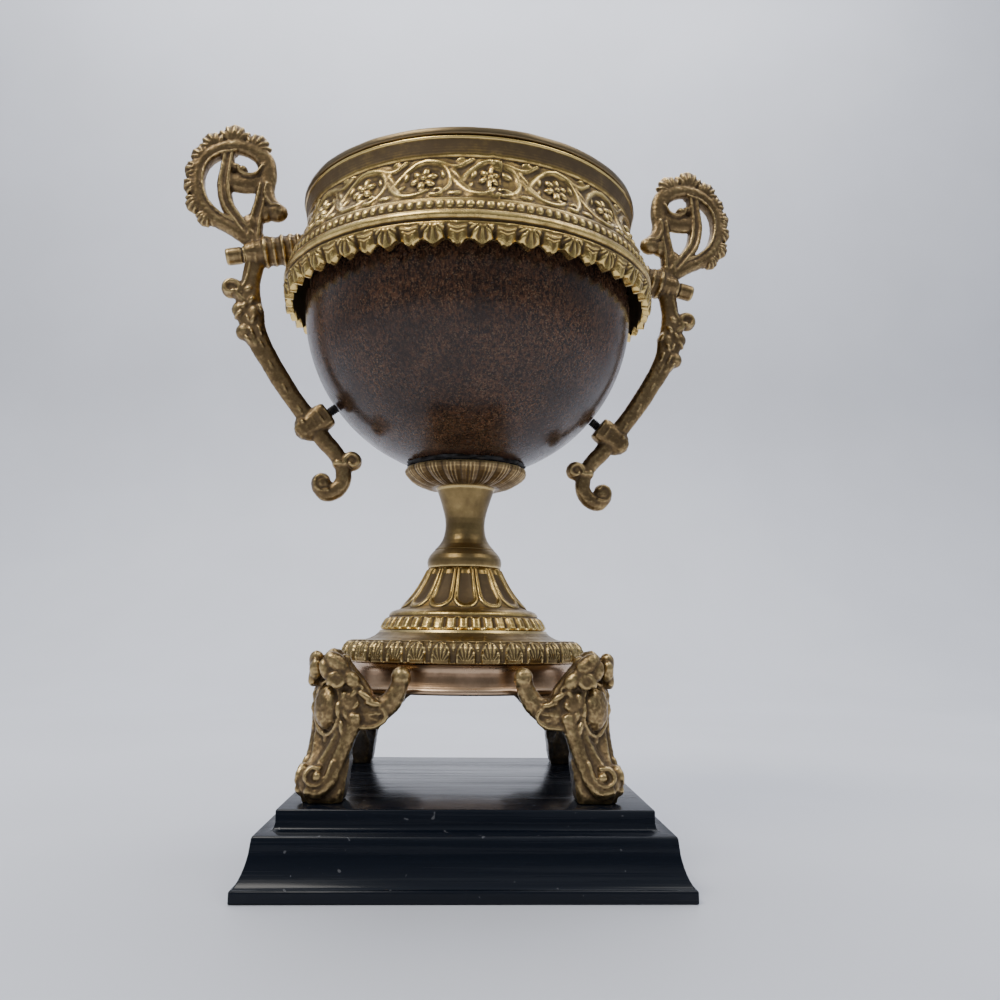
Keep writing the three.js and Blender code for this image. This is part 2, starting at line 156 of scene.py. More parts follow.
def smooth_line(points: Sequence[Point], count: int) -> Array:
    """Returns count points of a Catmull-Rom line through the given points, of any dimension."""
    given = np.array(points, dtype=float)
    ends = np.vstack([2 * given[0] - given[1], given, 2 * given[-1] - given[-2]])
    t = np.linspace(0, len(given) - 1, count)
    i = np.minimum(t.astype(int), len(given) - 2)
    f = (t - i)[:, None]
    a, b, c, d = ends[i], ends[i + 1], ends[i + 2], ends[i + 3]
    return 0.5 * (2 * b + (c - a) * f + (2 * a - 5 * b + 4 * c - d) * f**2 + (3 * b - a - 3 * c + d) * f**3)


def turned(
    name: str, section: Sequence[Point], around: int, step: float, relief: Relief | None = None
) -> bpy.types.Object:
    """Makes a turned piece from its section, with carving laid over it.

    Args:
        name: The object's name.
        section: [radius, height] pairs, from axis to axis or closed on itself.
        around: Faces round the piece.
        step: Rough row height, in mm.
        relief: Gives radius and height anew from turn in degrees, radius and height.

    Returns:
        The welded object.
    """
    rows = stepped(section, step)

    def place(u: Array, v: Array) -> Array:
        row = np.rint(v * (len(rows) - 1)).astype(int)
        turn = np.rint(u * around) % around * 360.0 / around
        r, h = rows[row, 0], rows[row, 1]
        if relief:
            r, h = relief((turn + 180) % 360 - 180, r, h)
        a = np.radians(turn)
        return np.stack([r * np.sin(a), -r * np.cos(a), h], axis=1)

    return wrapped(name, around, len(rows) - 1, place)


def swept(
    name: str,
    path: Sequence[Point],
    halves: Sequence[float],
    depth: float | Sequence[float],
    facing: Point = (0, 1, 0),
    squareness: float = 2.0,
    step: float = 0.8,
    around: int = 20,
) -> bpy.types.Object:
    """Makes a round-ended bar along a smooth line.

    Args:
        name: The object's name.
        path: Points [x, y, z] of the line.
        halves: Half widths along the line, evenly spaced on it.
        depth: Half thickness towards facing, one value or one for each point as halves has.
        facing: The direction that the bar's flat side looks to.
        squareness: 2 for an oval section, more for a boxy one.
        step: Rough distance between rings, in mm.
        around: Faces round the bar.

    Returns:
        The welded object.
    """
    rough = smooth_line(path, 200)
    length = float(np.linalg.norm(np.diff(rough, axis=0), axis=1).sum())
    count = max(8, int(length / step))
    line = smooth_line(path, count)
    tangent = np.gradient(line, axis=0)
    tangent /= np.linalg.norm(tangent, axis=1)[:, None]
    side = np.cross(tangent, np.array(facing, dtype=float))
    side /= np.linalg.norm(side, axis=1)[:, None]
    front = np.cross(side, tangent)
    at = np.linspace(0, 1, count)
    half = np.interp(at, np.linspace(0, 1, len(halves)), halves)
    thick = np.broadcast_to(depth, (len(halves),)) if np.isscalar(depth) else np.array(depth, dtype=float)
    deep = np.interp(at, np.linspace(0, 1, len(thick)), thick)
    cap = 4
    ring = np.concatenate([np.zeros(cap, int), np.arange(count), np.full(cap, count - 1)])
    lift = np.concatenate([np.linspace(-1, 0, cap + 1)[:-1], np.zeros(count), np.linspace(0, 1, cap + 1)[1:]])
    shrink = np.sqrt(np.clip(1 - lift**2, 0, 1))

    def place(u: Array, v: Array) -> Array:
        row = np.rint(v * (len(ring) - 1)).astype(int)
        a = 2 * math.pi * np.rint(u * around) / around
        k, i = shrink[row], ring[row]
        across = np.sign(np.cos(a)) * np.abs(np.cos(a)) ** (2 / squareness) * half[i] * k
        out = np.sign(np.sin(a)) * np.abs(np.sin(a)) ** (2 / squareness) * deep[i] * k
        on = lift[row] * np.minimum(half[i], deep[i])
        return line[i] + side[i] * across[:, None] + front[i] * out[:, None] + tangent[i] * on[:, None]

    return wrapped(name, around, len(ring) - 1, place)


def spiral(centre: Point, start: float, stop: float, from_r: float, to_r: float, y: float) -> list[Point]:
    """Returns points of a spiral in an XZ plane, its angles in degrees from +X towards +Z."""
    steps = max(6, int(abs(stop - start) / 30))
    points = []
    for i in range(steps + 1):
        a = math.radians(start + (stop - start) * i / steps)
        r = from_r + (to_r - from_r) * i / steps
        points.append((centre[0] + r * math.cos(a), y, centre[1] + r * math.sin(a)))
    return points


class Lumps:
    """Makes the many small rounded forms of a casting from one ball."""

    def __init__(self) -> None:
        """Adds the pattern ball once."""
        only()
        bpy.ops.mesh.primitive_uv_sphere_add(segments=16, ring_count=10, radius=1.0)
        self.ball = bpy.context.object
        self.ball.name = "pattern_ball"

    def lump(self, centre: Point, radii: Point, turn: float = 0.0, lean: float = 0.0) -> bpy.types.Object:
        """Copies the ball as an egg form.

        Args:
            centre: Its middle, in mm.
            radii: Half sizes along its own X, Y and Z.
            turn: Degrees from +X towards +Z in the XZ plane.
            lean: Degrees round Z after that.

        Returns:
            The new object.
        """
        obj = bpy.data.objects.new("lump", self.ball.data.copy())
        bpy.context.scene.collection.objects.link(obj)
        move = (
            Matrix.Translation(Vector(centre))
            @ Matrix.Rotation(math.radians(lean), 4, "Z")
            @ Matrix.Rotation(math.radians(-turn), 4, "Y")
            @ Matrix.Diagonal(Vector((*radii, 1)))
        )
        obj.data.transform(move)
        return obj

    def clear(self) -> None:
        """Removes the pattern ball."""
        bpy.data.objects.remove(self.ball)


def fused(name: str, parts: list[bpy.types.Object], grain: float, rounds: int) -> bpy.types.Object:
    """Joins overlapping forms into one cast skin.

    Args:
        name: The piece's name.
        parts: The forms, which are used up.
        grain: Size of the remesh cells, in mm.
        rounds: Smoothing rounds.

    Returns:
        The fused object.
    """
    only(*parts)
    bpy.ops.object.join()
    obj = bpy.context.object
    obj.name = name
    skin = obj.modifiers.new("skin", "REMESH")
    skin.mode = "VOXEL"
    skin.voxel_size = grain
    bpy.ops.object.modifier_apply(modifier=skin.name)
    soften = obj.modifiers.new("soften", "SMOOTH")
    soften.factor = 0.5
    soften.iterations = rounds
    bpy.ops.object.modifier_apply(modifier=soften.name)
    return obj


def hashed_noise(places: Array, size: float, seed: int = 0) -> Array:
    """Returns smooth noise from -1 to 1 at these places, with blobs about size across."""
    p = places / size + seed * 17.31
    base = np.floor(p).astype(np.int64)
    f = p - base
    f = f * f * (3 - 2 * f)
    total = np.zeros(len(p))
    for corner in range(8):
        step = np.array([corner & 1, corner >> 1 & 1, corner >> 2 & 1])
        q = base + step
        code = (q[:, 0] * 73856093) ^ (q[:, 1] * 19349663) ^ (q[:, 2] * 83492791)
        value = (code * 2654435761 % 4294967296) / 2147483648.0 - 1.0
        total += value * np.prod(np.where(step, f, 1 - f), axis=1)
    return total


def normals(obj: bpy.types.Object) -> Array:
    """Returns the mesh's vertex normals as an (n, 3) array."""
    flat = np.empty(len(obj.data.vertices) * 3)
    obj.data.vertex_normals.foreach_get("vector", flat)
    return flat.reshape(-1, 3)


def roughen(obj: bpy.types.Object, depth: float, size: float, seed: int = 1) -> None:
    """Presses the soft unevenness of a sand casting into a mesh, depth and size in mm."""
    p = vertices(obj)
    noise = hashed_noise(p, size, seed) + 0.5 * hashed_noise(p, size / 2.1, seed + 5)
    lay(obj, p + normals(obj) * (depth * noise)[:, None])


def mark_hollows(
    obj: bpy.types.Object, rounds: int, gain: float, more: Callable[[Array], Array] | None = None
) -> None:
    """Stores how hollow the surface is at each vertex, 0 on ridges, 0.5 on flats, 1 in hollows.

    Args:
        obj: The piece, still in mm.
        rounds: How far round each vertex is looked, in edge steps squared.
        gain: Value added for each mm that the surroundings stand proud.
        more: Gives further darkening for the vertices' places; on the gallery most of it is painted shade.
    """
    count = len(obj.data.vertices)
    edges = np.empty(len(obj.data.edges) * 2, dtype=np.int64)
    obj.data.edges.foreach_get("vertices", edges)
    a, b = edges[0::2], edges[1::2]
    degree = np.bincount(edges, minlength=count)[:, None].astype(float)
    p = vertices(obj)
    soft = p.copy()
    for _ in range(rounds):
        around = np.stack(
            [np.bincount(a, soft[b, k], count) + np.bincount(b, soft[a, k], count) for k in range(3)], axis=1
        )
        soft = 0.4 * soft + 0.6 * around / np.maximum(degree, 1)
    proud = ((soft - p) * normals(obj)).sum(axis=1)
    dirt_and_shade = more(p) if more else 0.0
    layer = obj.data.attributes.new("hollow", "FLOAT", "POINT")
    layer.data.foreach_set("value", np.clip(0.5 + gain * proud + dirt_and_shade, 0, 1).astype(np.float32))


def mark_painted_shade(obj: bpy.types.Object, amount: Array) -> None:
    """Stores painted shade at each vertex, from 0 to 1: how near black the surface is painted where shade falls."""
    layer = obj.data.attributes.new("painted_shade", "FLOAT", "POINT")
    layer.data.foreach_set("value", np.clip(amount, 0, 1).astype(np.float32))


def settled(
    obj: bpy.types.Object, material: bpy.types.Material, node: str, crease: float = 55.0
) -> bpy.types.Object:
    """Sets a finished piece on the plinth's height in metres, dresses it and gives it its nodes.

    Args:
        obj: The piece, in mm above the plinth's top.
        material: Its finish.
        node: The CAD node that it stands for.
        crease: Edges that bend more than this many degrees stay sharp.

    Returns:
        The piece.
    """
    p = vertices(obj)
    p[:, 2] += DECK
    lay(obj, p * MM)
    only(obj)
    bpy.ops.object.shade_smooth_by_angle(angle=math.radians(crease))
    obj.data.materials.clear()
    obj.data.materials.append(material)
    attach(obj, "root")
    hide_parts(node)
    log.info("%s: %d faces", obj.name, len(obj.data.polygons))
    return obj


def bump(x: Array, middle: float, width: float) -> Array:
    """Returns a soft hump of height 1."""
    return np.exp(-(((x - middle) / width) ** 2))


def ease(x: Array, low: float, high: float) -> Array:
    """Returns 0 below low, 1 above high and a smooth rise between, or the fall where low is higher."""
    t = np.clip((x - low) / (high - low), 0, 1)
    return t * t * (3 - 2 * t)


def within(turn: Array, count: int, phase: float = 0.0) -> tuple[Array, Array]:
    """Returns how far each turn is from its nearest of count even places, in degrees, and which place that is."""
    pitch = 360.0 / count
    index = np.rint((turn - phase) / pitch)
    return turn - phase - index * pitch, index.astype(int) % count


# ---------------------------------------------------------------- finishes


class Sockets:
    """Short ways to make and join shader nodes in one tree."""

    def __init__(self, tree: bpy.types.NodeTree) -> None:
        """Keeps the tree that is worked on."""
        self.tree = tree

    def node(self, kind: str, **settings: object) -> bpy.types.Node:
        """Adds a node and sets its properties."""
        made = self.tree.nodes.new(kind)
        for key, value in settings.items():
            setattr(made, key, value)
        return made

    def feed(self, socket: bpy.types.NodeSocket, value: object) -> None:
        """Joins a socket to another, or sets it to a plain value."""
        if isinstance(value, bpy.types.NodeSocket):
            self.tree.links.new(value, socket)
        else:
            socket.default_value = value

    def math(self, operation: str, a: object, b: object = 0.0, clamp: bool = False) -> bpy.types.NodeSocket:
        """Returns the result of a math node."""
        made = self.node("ShaderNodeMath", operation=operation, use_clamp=clamp)
        self.feed(made.inputs[0], a)
        self.feed(made.inputs[1], b)
        return made.outputs[0]

    def mix(self, share: object, a: object, b: object, blend: str = "MIX") -> bpy.types.NodeSocket:
        """Returns a colour between a and b."""
        made = self.node("ShaderNodeMix", data_type="RGBA", blend_type=blend)
        self.feed(made.inputs["Factor"], share)
        self.feed(made.inputs[6], a)
        self.feed(made.inputs[7], b)
        return made.outputs[2]

    def spread(self, value: object, low: float, high: float, to_low: float = 0.0, to_high: float = 1.0) -> object:
        """Returns a value mapped from one range to another, clamped and smoothed."""
        made = self.node("ShaderNodeMapRange", interpolation_type="SMOOTHSTEP")
        for key, number in zip(("Value", "From Min", "From Max", "To Min", "To Max"), (value, low, high, to_low, to_high)):
            self.feed(made.inputs[key], number)
        return made.outputs[0]

    def noise(self, where: object, scale: float, detail: float = 4.0, roughness: float = 0.6) -> bpy.types.NodeSocket:
        """Returns a noise value; scale counts waves in a metre."""
        made = self.node("ShaderNodeTexNoise")
        self.feed(made.inputs["Vector"], where)
        made.inputs["Scale"].default_value = scale
        made.inputs["Detail"].default_value = detail
        made.inputs["Roughness"].default_value = roughness
        return made.outputs["Fac"]

    def stretched(self, where: object, scale: Point) -> bpy.types.NodeSocket:
        """Returns coordinates scaled along each axis."""
        made = self.node("ShaderNodeMapping")
        self.feed(made.inputs["Vector"], where)
        made.inputs["Scale"].default_value = scale
        return made.outputs[0]

    def bumped(self, height: object, strength: float, distance: float) -> bpy.types.NodeSocket:
        """Returns a normal raised by height, over distance metres."""
        made = self.node("ShaderNodeBump")
        made.inputs["Strength"].default_value = strength
        made.inputs["Distance"].default_value = distance
        self.feed(made.inputs["Height"], height)
        return made.outputs[0]


def patina_group() -> bpy.types.NodeTree:
    """Builds the shared group that says where old metal is dark, worn bright or mottled, and where shade is painted on
    near black.

    Returns:
        A group with inputs Vector, Depth and Wear, and outputs Dark, Bright, Mottle, Grain and the painted shade.
    """
    tree = bpy.data.node_groups.new("patina", "ShaderNodeTree")
    face = tree.interface
    face.new_socket("Vector", in_out="INPUT", socket_type="NodeSocketVector")
    face.new_socket("Depth", in_out="INPUT", socket_type="NodeSocketFloat")
    face.new_socket("Wear", in_out="INPUT", socket_type="NodeSocketFloat")
    for name in ("Dark", "Bright", "Mottle", "Grain", "PaintedShade"):
        face.new_socket(name, in_out="OUTPUT", socket_type="NodeSocketFloat")
    s = Sockets(tree)
    given = s.node("NodeGroupInput").outputs
    out = s.node("NodeGroupOutput").inputs
    hollow = s.node("ShaderNodeAttribute", attribute_name="hollow").outputs["Fac"]
    mottle = s.noise(given["Vector"], 55.0, 5.0, 0.65)
    grain = s.noise(given["Vector"], 1400.0, 3.0, 0.7)
    # Noise for uneven dirt in the patina; it also breaks up the painted shade.
    dirt_and_shade = s.noise(given["Vector"], 260.0, 4.0, 0.7)
    uneven = s.math("MULTIPLY", s.math("SUBTRACT", dirt_and_shade, 0.5), 0.34)
    broad = s.math("MULTIPLY", s.math("SUBTRACT", mottle, 0.5), 0.22)
    level = s.math("ADD", s.math("ADD", hollow, uneven), broad)
    low = s.math("SUBTRACT", 0.62, s.math("MULTIPLY", given["Depth"], 0.16))
    dark = s.node("ShaderNodeMapRange", interpolation_type="SMOOTHSTEP")
    s.feed(dark.inputs["Value"], level)
    s.feed(dark.inputs["From Min"], low)
    s.feed(dark.inputs["From Max"], s.math("ADD", low, 0.3))
    s.feed(out["Dark"], dark.outputs[0])
    ridge = s.spread(level, 0.47, 0.24)
    s.feed(out["Bright"], s.math("MULTIPLY", ridge, given["Wear"], clamp=True))
    # Painted shade: the stored shade amount, broken up a little by noise.
    painted_shade = s.node("ShaderNodeAttribute", attribute_name="painted_shade").outputs["Fac"]
    s.feed(out["PaintedShade"], s.math("MULTIPLY", painted_shade, s.spread(dirt_and_shade, 0.2, 0.6, 0.75, 1.0)))
    s.feed(out["Mottle"], mottle)
    s.feed(out["Grain"], s.math("ADD", s.math("MULTIPLY", grain, 0.6), s.math("MULTIPLY", dirt_and_shade, 0.4)))
    return tree


class Polish(Enum):
    """How a brass surface was left."""

    CAST = "cast"
    TURNED = "turned"


@dataclass(frozen=True)
class AgedBrass:
    """Old brass: brighter on what stands proud, brown in the hollows."""

    name: str
    body: Point
    worn: Point
    soiled: Point
    roughness: float
    depth: float
    wear: float
    polish: Polish = Polish.CAST

    def material(self, patina: bpy.types.NodeTree) -> bpy.types.Material:
        """Builds the finish from the shared patina group."""
        made = bpy.data.materials.new(self.name)
        made.use_nodes = True
        s = Sockets(made.node_tree)
        shader = made.node_tree.nodes["Principled BSDF"]
        where = s.node("ShaderNodeTexCoord").outputs["Object"]
        age = s.node("ShaderNodeGroup", node_tree=patina)
        s.feed(age.inputs["Vector"], where)
        age.inputs["Depth"].default_value = self.depth
        age.inputs["Wear"].default_value = self.wear
        mottled = s.mix(s.spread(age.outputs["Mottle"], 0.32, 0.68, 0.0, 0.55), (*self.body, 1), (*self.soiled, 1))
        rubbed = s.mix(age.outputs["Bright"], mottled, (*self.worn, 1))
        colour = s.mix(s.math("MULTIPLY", age.outputs["Dark"], 0.9), rubbed, (*self.soiled, 1))
        # Painted shade: the colour turns near black and the metal matt where the painted shade is strong.
        colour = s.mix(age.outputs["PaintedShade"], colour, (0.008, 0.007, 0.007, 1))
        s.feed(shader.inputs["Base Color"], colour)
        cover = s.math("MAXIMUM", s.math("MULTIPLY", age.outputs["Dark"], 0.55), age.outputs["PaintedShade"])
        metal = s.math("SUBTRACT", 1.0, cover)
        s.feed(shader.inputs["Metallic"], metal)
        rough = s.math("ADD", self.roughness, s.math("MULTIPLY", age.outputs["Dark"], 0.3))
        rough = s.math("ADD", rough, s.math("MULTIPLY", s.math("SUBTRACT", age.outputs["Mottle"], 0.5), 0.25))
        s.feed(shader.inputs["Roughness"], s.math("SUBTRACT", rough, s.math("MULTIPLY", age.outputs["Bright"], 0.1)))
        height = age.outputs["Grain"]
        if self.polish is Polish.TURNED:
            rings = s.noise(s.stretched(where, (40, 40, 2600)), 1.0, 2.0, 0.5)
            height = s.math("ADD", s.math("MULTIPLY", height, 0.35), s.math("MULTIPLY", rings, 0.65))
        strength = 0.5 if self.polish is Polish.CAST else 0.3
        s.feed(shader.inputs["Normal"], s.bumped(height, strength, 0.00022))
        return made


@dataclass(frozen=True)
class SpeckledGlaze:
    """Dark brown glaze with the fine brown, tan and grey specks of granite."""

    name: str = "bowl_glaze"
    ground: Point = (0.016, 0.0085, 0.006)
    brown: Point = (0.115, 0.05, 0.024)
    tan: Point = (0.26, 0.16, 0.085)
    grey: Point = (0.13, 0.105, 0.095)

    def material(self) -> bpy.types.Material:
        """Builds the glaze."""
        made = bpy.data.materials.new(self.name)
        made.use_nodes = True
        s = Sockets(made.node_tree)
        shader = made.node_tree.nodes["Principled BSDF"]
        where = s.node("ShaderNodeTexCoord").outputs["Object"]
        clouds = s.noise(where, 24.0, 5.0, 0.65)
        cover = s.spread(clouds, 0.36, 0.62, 0.14, 0.72)
        fine = s.noise(where, 1300.0, 3.0, 0.8)
        small = s.noise(s.stretched(where, (820, 820, 420)), 1.0, 4.0, 0.8)
        streak = s.noise(s.stretched(where, (330, 330, 90)), 1.0, 3.0, 0.7)
        brown = s.math("MULTIPLY", s.spread(small, 0.44, 0.6), s.math("ADD", cover, 0.2), clamp=True)
        colour = s.mix(brown, (*self.ground, 1), (*self.brown, 1))
        tan = s.math("MULTIPLY", s.spread(fine, 0.54, 0.64), cover, clamp=True)
        colour = s.mix(tan, colour, (*self.tan, 1))
        grey = s.math("MULTIPLY", s.spread(s.noise(where, 700.0, 2.0, 0.8), 0.6, 0.7), 0.5)
        colour = s.mix(s.math("MULTIPLY", grey, s.spread(streak, 0.4, 0.7)), colour, (*self.grey, 1))
        s.feed(shader.inputs["Base Color"], colour)
        s.feed(shader.inputs["Roughness"], s.spread(s.noise(where, 90.0, 4.0), 0.3, 0.7, 0.2, 0.32))
        shader.inputs["Specular IOR Level"].default_value = 0.3
        shader.inputs["Coat Weight"].default_value = 0.1
        shader.inputs["Coat Roughness"].default_value = 0.08
        height = s.math("ADD", s.math("MULTIPLY", fine, 0.3), s.math("MULTIPLY", s.noise(where, 60.0, 2.0), 0.7))
        s.feed(shader.inputs["Normal"], s.bumped(height, 0.12, 0.0005))
        return made


@dataclass(frozen=True)
class BrushedBlackPaint:
    """Glossy blue-black paint, laid on wood with a wide brush."""

    name: str = "plinth_paint"
    colour: Point = (0.004, 0.006, 0.011)
    dust: Point = (0.06, 0.065, 0.075)

    def material(self) -> bpy.types.Material:
        """Builds the paint."""
        made = bpy.data.materials.new(self.name)
        made.use_nodes = True
        s = Sockets(made.node_tree)
        shader = made.node_tree.nodes["Principled BSDF"]
        where = s.node("ShaderNodeTexCoord").outputs["Object"]
        strokes = s.noise(s.stretched(where, (7, 150, 420)), 1.0, 4.0, 0.65)
        waves = s.noise(where, 26.0, 2.0, 0.5)
        specks = s.spread(s.noise(where, 330.0, 1.0, 0.5), 0.74, 0.78)
        haze = s.math("MULTIPLY", s.spread(strokes, 0.45, 0.8), 0.12)
        colour = s.mix(haze, (*self.colour, 1), (*self.dust, 1))
        colour = s.mix(s.math("MULTIPLY", specks, 0.5), colour, (0.16, 0.16, 0.17, 1))
        s.feed(shader.inputs["Base Color"], colour)
        s.feed(shader.inputs["Roughness"], s.spread(strokes, 0.3, 0.75, 0.16, 0.36))
        shader.inputs["Specular IOR Level"].default_value = 0.2
        shader.inputs["Coat Weight"].default_value = 0.04
        shader.inputs["Coat Roughness"].default_value = 0.08
        height = s.math("ADD", s.math("MULTIPLY", strokes, 0.5), s.math("MULTIPLY", waves, 1.2))
        height = s.math("ADD", height, s.math("MULTIPLY", specks, 0.5))
        s.feed(shader.inputs["Normal"], s.bumped(height, 0.2, 0.0006))
        return made


@dataclass(frozen=True)
class DarkStuff:
    """Bedding compound, whose near black also paints shadow, and blackened steel: dark, mottled and rough."""

    name: str
    colour: Point
    lighter: Point
    roughness: float
    metallic: float
    grain: float

    def material(self) -> bpy.types.Material:
        """Builds the finish."""
        made = bpy.data.materials.new(self.name)
        made.use_nodes = True
        s = Sockets(made.node_tree)
        shader = made.node_tree.nodes["Principled BSDF"]
        where = s.node("ShaderNodeTexCoord").outputs["Object"]
        blotch = s.noise(where, self.grain, 4.0, 0.65)
        s.feed(shader.inputs["Base Color"], s.mix(s.spread(blotch, 0.4, 0.7), (*self.colour, 1), (*self.lighter, 1)))
        shader.inputs["Metallic"].default_value = self.metallic
        s.feed(shader.inputs["Roughness"], s.spread(blotch, 0.3, 0.7, self.roughness, self.roughness + 0.2))
        s.feed(shader.inputs["Normal"], s.bumped(s.noise(where, self.grain * 3, 3.0), 0.5, 0.0003))
        return made


class Finishes:
    """All the urn's finishes, built once."""

    def __init__(self) -> None:
        """Builds the patina group and every material from it."""
        patina = patina_group()
        soiled = (0.075, 0.046, 0.02)
        self.cast = AgedBrass(
            "cast_brass", (0.255, 0.172, 0.082), (0.58, 0.42, 0.19), soiled, 0.38, 1.2, 0.75
        ).material(patina)
        self.gallery = AgedBrass(
            "bright_brass", (0.40, 0.265, 0.085), (0.84, 0.60, 0.215), soiled, 0.31, 1.2, 1.0
        ).material(patina)
        self.turned = AgedBrass(
            "turned_brass", (0.28, 0.195, 0.08), (0.60, 0.44, 0.19), soiled, 0.34, 1.0, 0.8, Polish.TURNED
        ).material(patina)
        # Painted highlight: a lighter, pinker copy of the turned brass for the drum, standing in for the pinkish
        # reflection across its middle.
        self.drum = AgedBrass(
            "drum_brass", (0.47, 0.305, 0.19), (0.62, 0.44, 0.29), soiled, 0.34, 0.7, 0.6, Polish.TURNED
        ).material(patina)
        # Painted shade: a much darker copy of the aged brass for the mouth ring, whose band is seen in shade from
        # below.
        self.shaded_rim_brass = AgedBrass(
            "brass_in_painted_shade", (0.10, 0.072, 0.040), (0.26, 0.19, 0.10), (0.03, 0.02, 0.012), 0.4, 1.2, 0.6
        ).material(patina)
        self.glaze = SpeckledGlaze().material()
        self.paint = BrushedBlackPaint().material()
        # Bedding compound, near black: real putty in part, and in part painted shadow between cup and ball.
        self.bedding = DarkStuff("bedding", (0.008, 0.007, 0.006), (0.03, 0.025, 0.02), 0.6, 0.0, 400.0).material()
        self.steel = DarkStuff("screw_steel", (0.02, 0.02, 0.022), (0.07, 0.06, 0.05), 0.4, 0.8, 600.0).material()


# ---------------------------------------------------------------- plinth


@dataclass
class Plinth:
    """The square plinth: a thin top block over a wider one that flares to its foot."""

    top_half: float = 70.8
    ledge_half: float = 77.3
    foot_half: float = 83.5
    foot_thick: float = 4.5
    shift: float = 2.5

    def block(self) -> bpy.types.Object:
        """Extrudes the plinth level by level from its foot, and rounds its edges."""
        only()
        bpy.ops.mesh.primitive_cube_add(size=1.0)
        obj = bpy.context.object
        obj.name = "painted_plinth"
        p = vertices(obj)
        size = np.array([2 * self.foot_half, 2 * self.foot_half, self.foot_thick])
        lay(obj, p * size + np.array([self.shift, 0, self.foot_thick / 2 - DECK]))
        flare = [
            (82.6, -25.1), (81.8, -24), (81, -22.6), (80.2, -20.8), (79.5, -18.8), (78.9, -16.6), (78.4, -14.2),
            (78.1, -11.6), (77.8, -9),
        ]
        cove = [
            (77.5, -8.3), (77.0, -8), (72.4, -7.4), (71.7, -7.1), (71.2, -6.5), (71, -5.6), (self.top_half, -4.8),
            (self.top_half, -0.6), (70.6, -0.2), (70.1, 0),
        ]
        half, height = self.foot_half, self.foot_thick - DECK
        bpy.ops.object.mode_set(mode="EDIT")
        bpy.ops.mesh.select_mode(type="FACE")
        bpy.ops.mesh.select_all(action="DESELECT")
        bpy.ops.object.mode_set(mode="OBJECT")
        for polygon in obj.data.polygons:
            polygon.select = polygon.normal.z > 0.5
        bpy.ops.object.mode_set(mode="EDIT")
        for next_half, next_height in flare + cove:
            rise = (0, 0, next_height - height)
            bpy.ops.mesh.extrude_region_move(TRANSFORM_OT_translate={"value": rise})
            share = next_half / half
            bpy.ops.transform.resize(value=(share, share, 1), center_override=(self.shift, 0, next_height))
            half, height = next_half, next_height
        bpy.ops.object.mode_set(mode="OBJECT")
        soft = obj.modifiers.new("soft_corners", "BEVEL")
        soft.width = 0.6
        soft.segments = 3
        soft.angle_limit = math.radians(60)
        bpy.ops.object.modifier_apply(modifier=soft.name)
        return obj

    def build(self, finishes: Finishes) -> None:
        """Makes and dresses the plinth."""
        settled(self.block(), finishes.paint, "plinth", crease=38)


# ---------------------------------------------------------------- foot, stem and cup


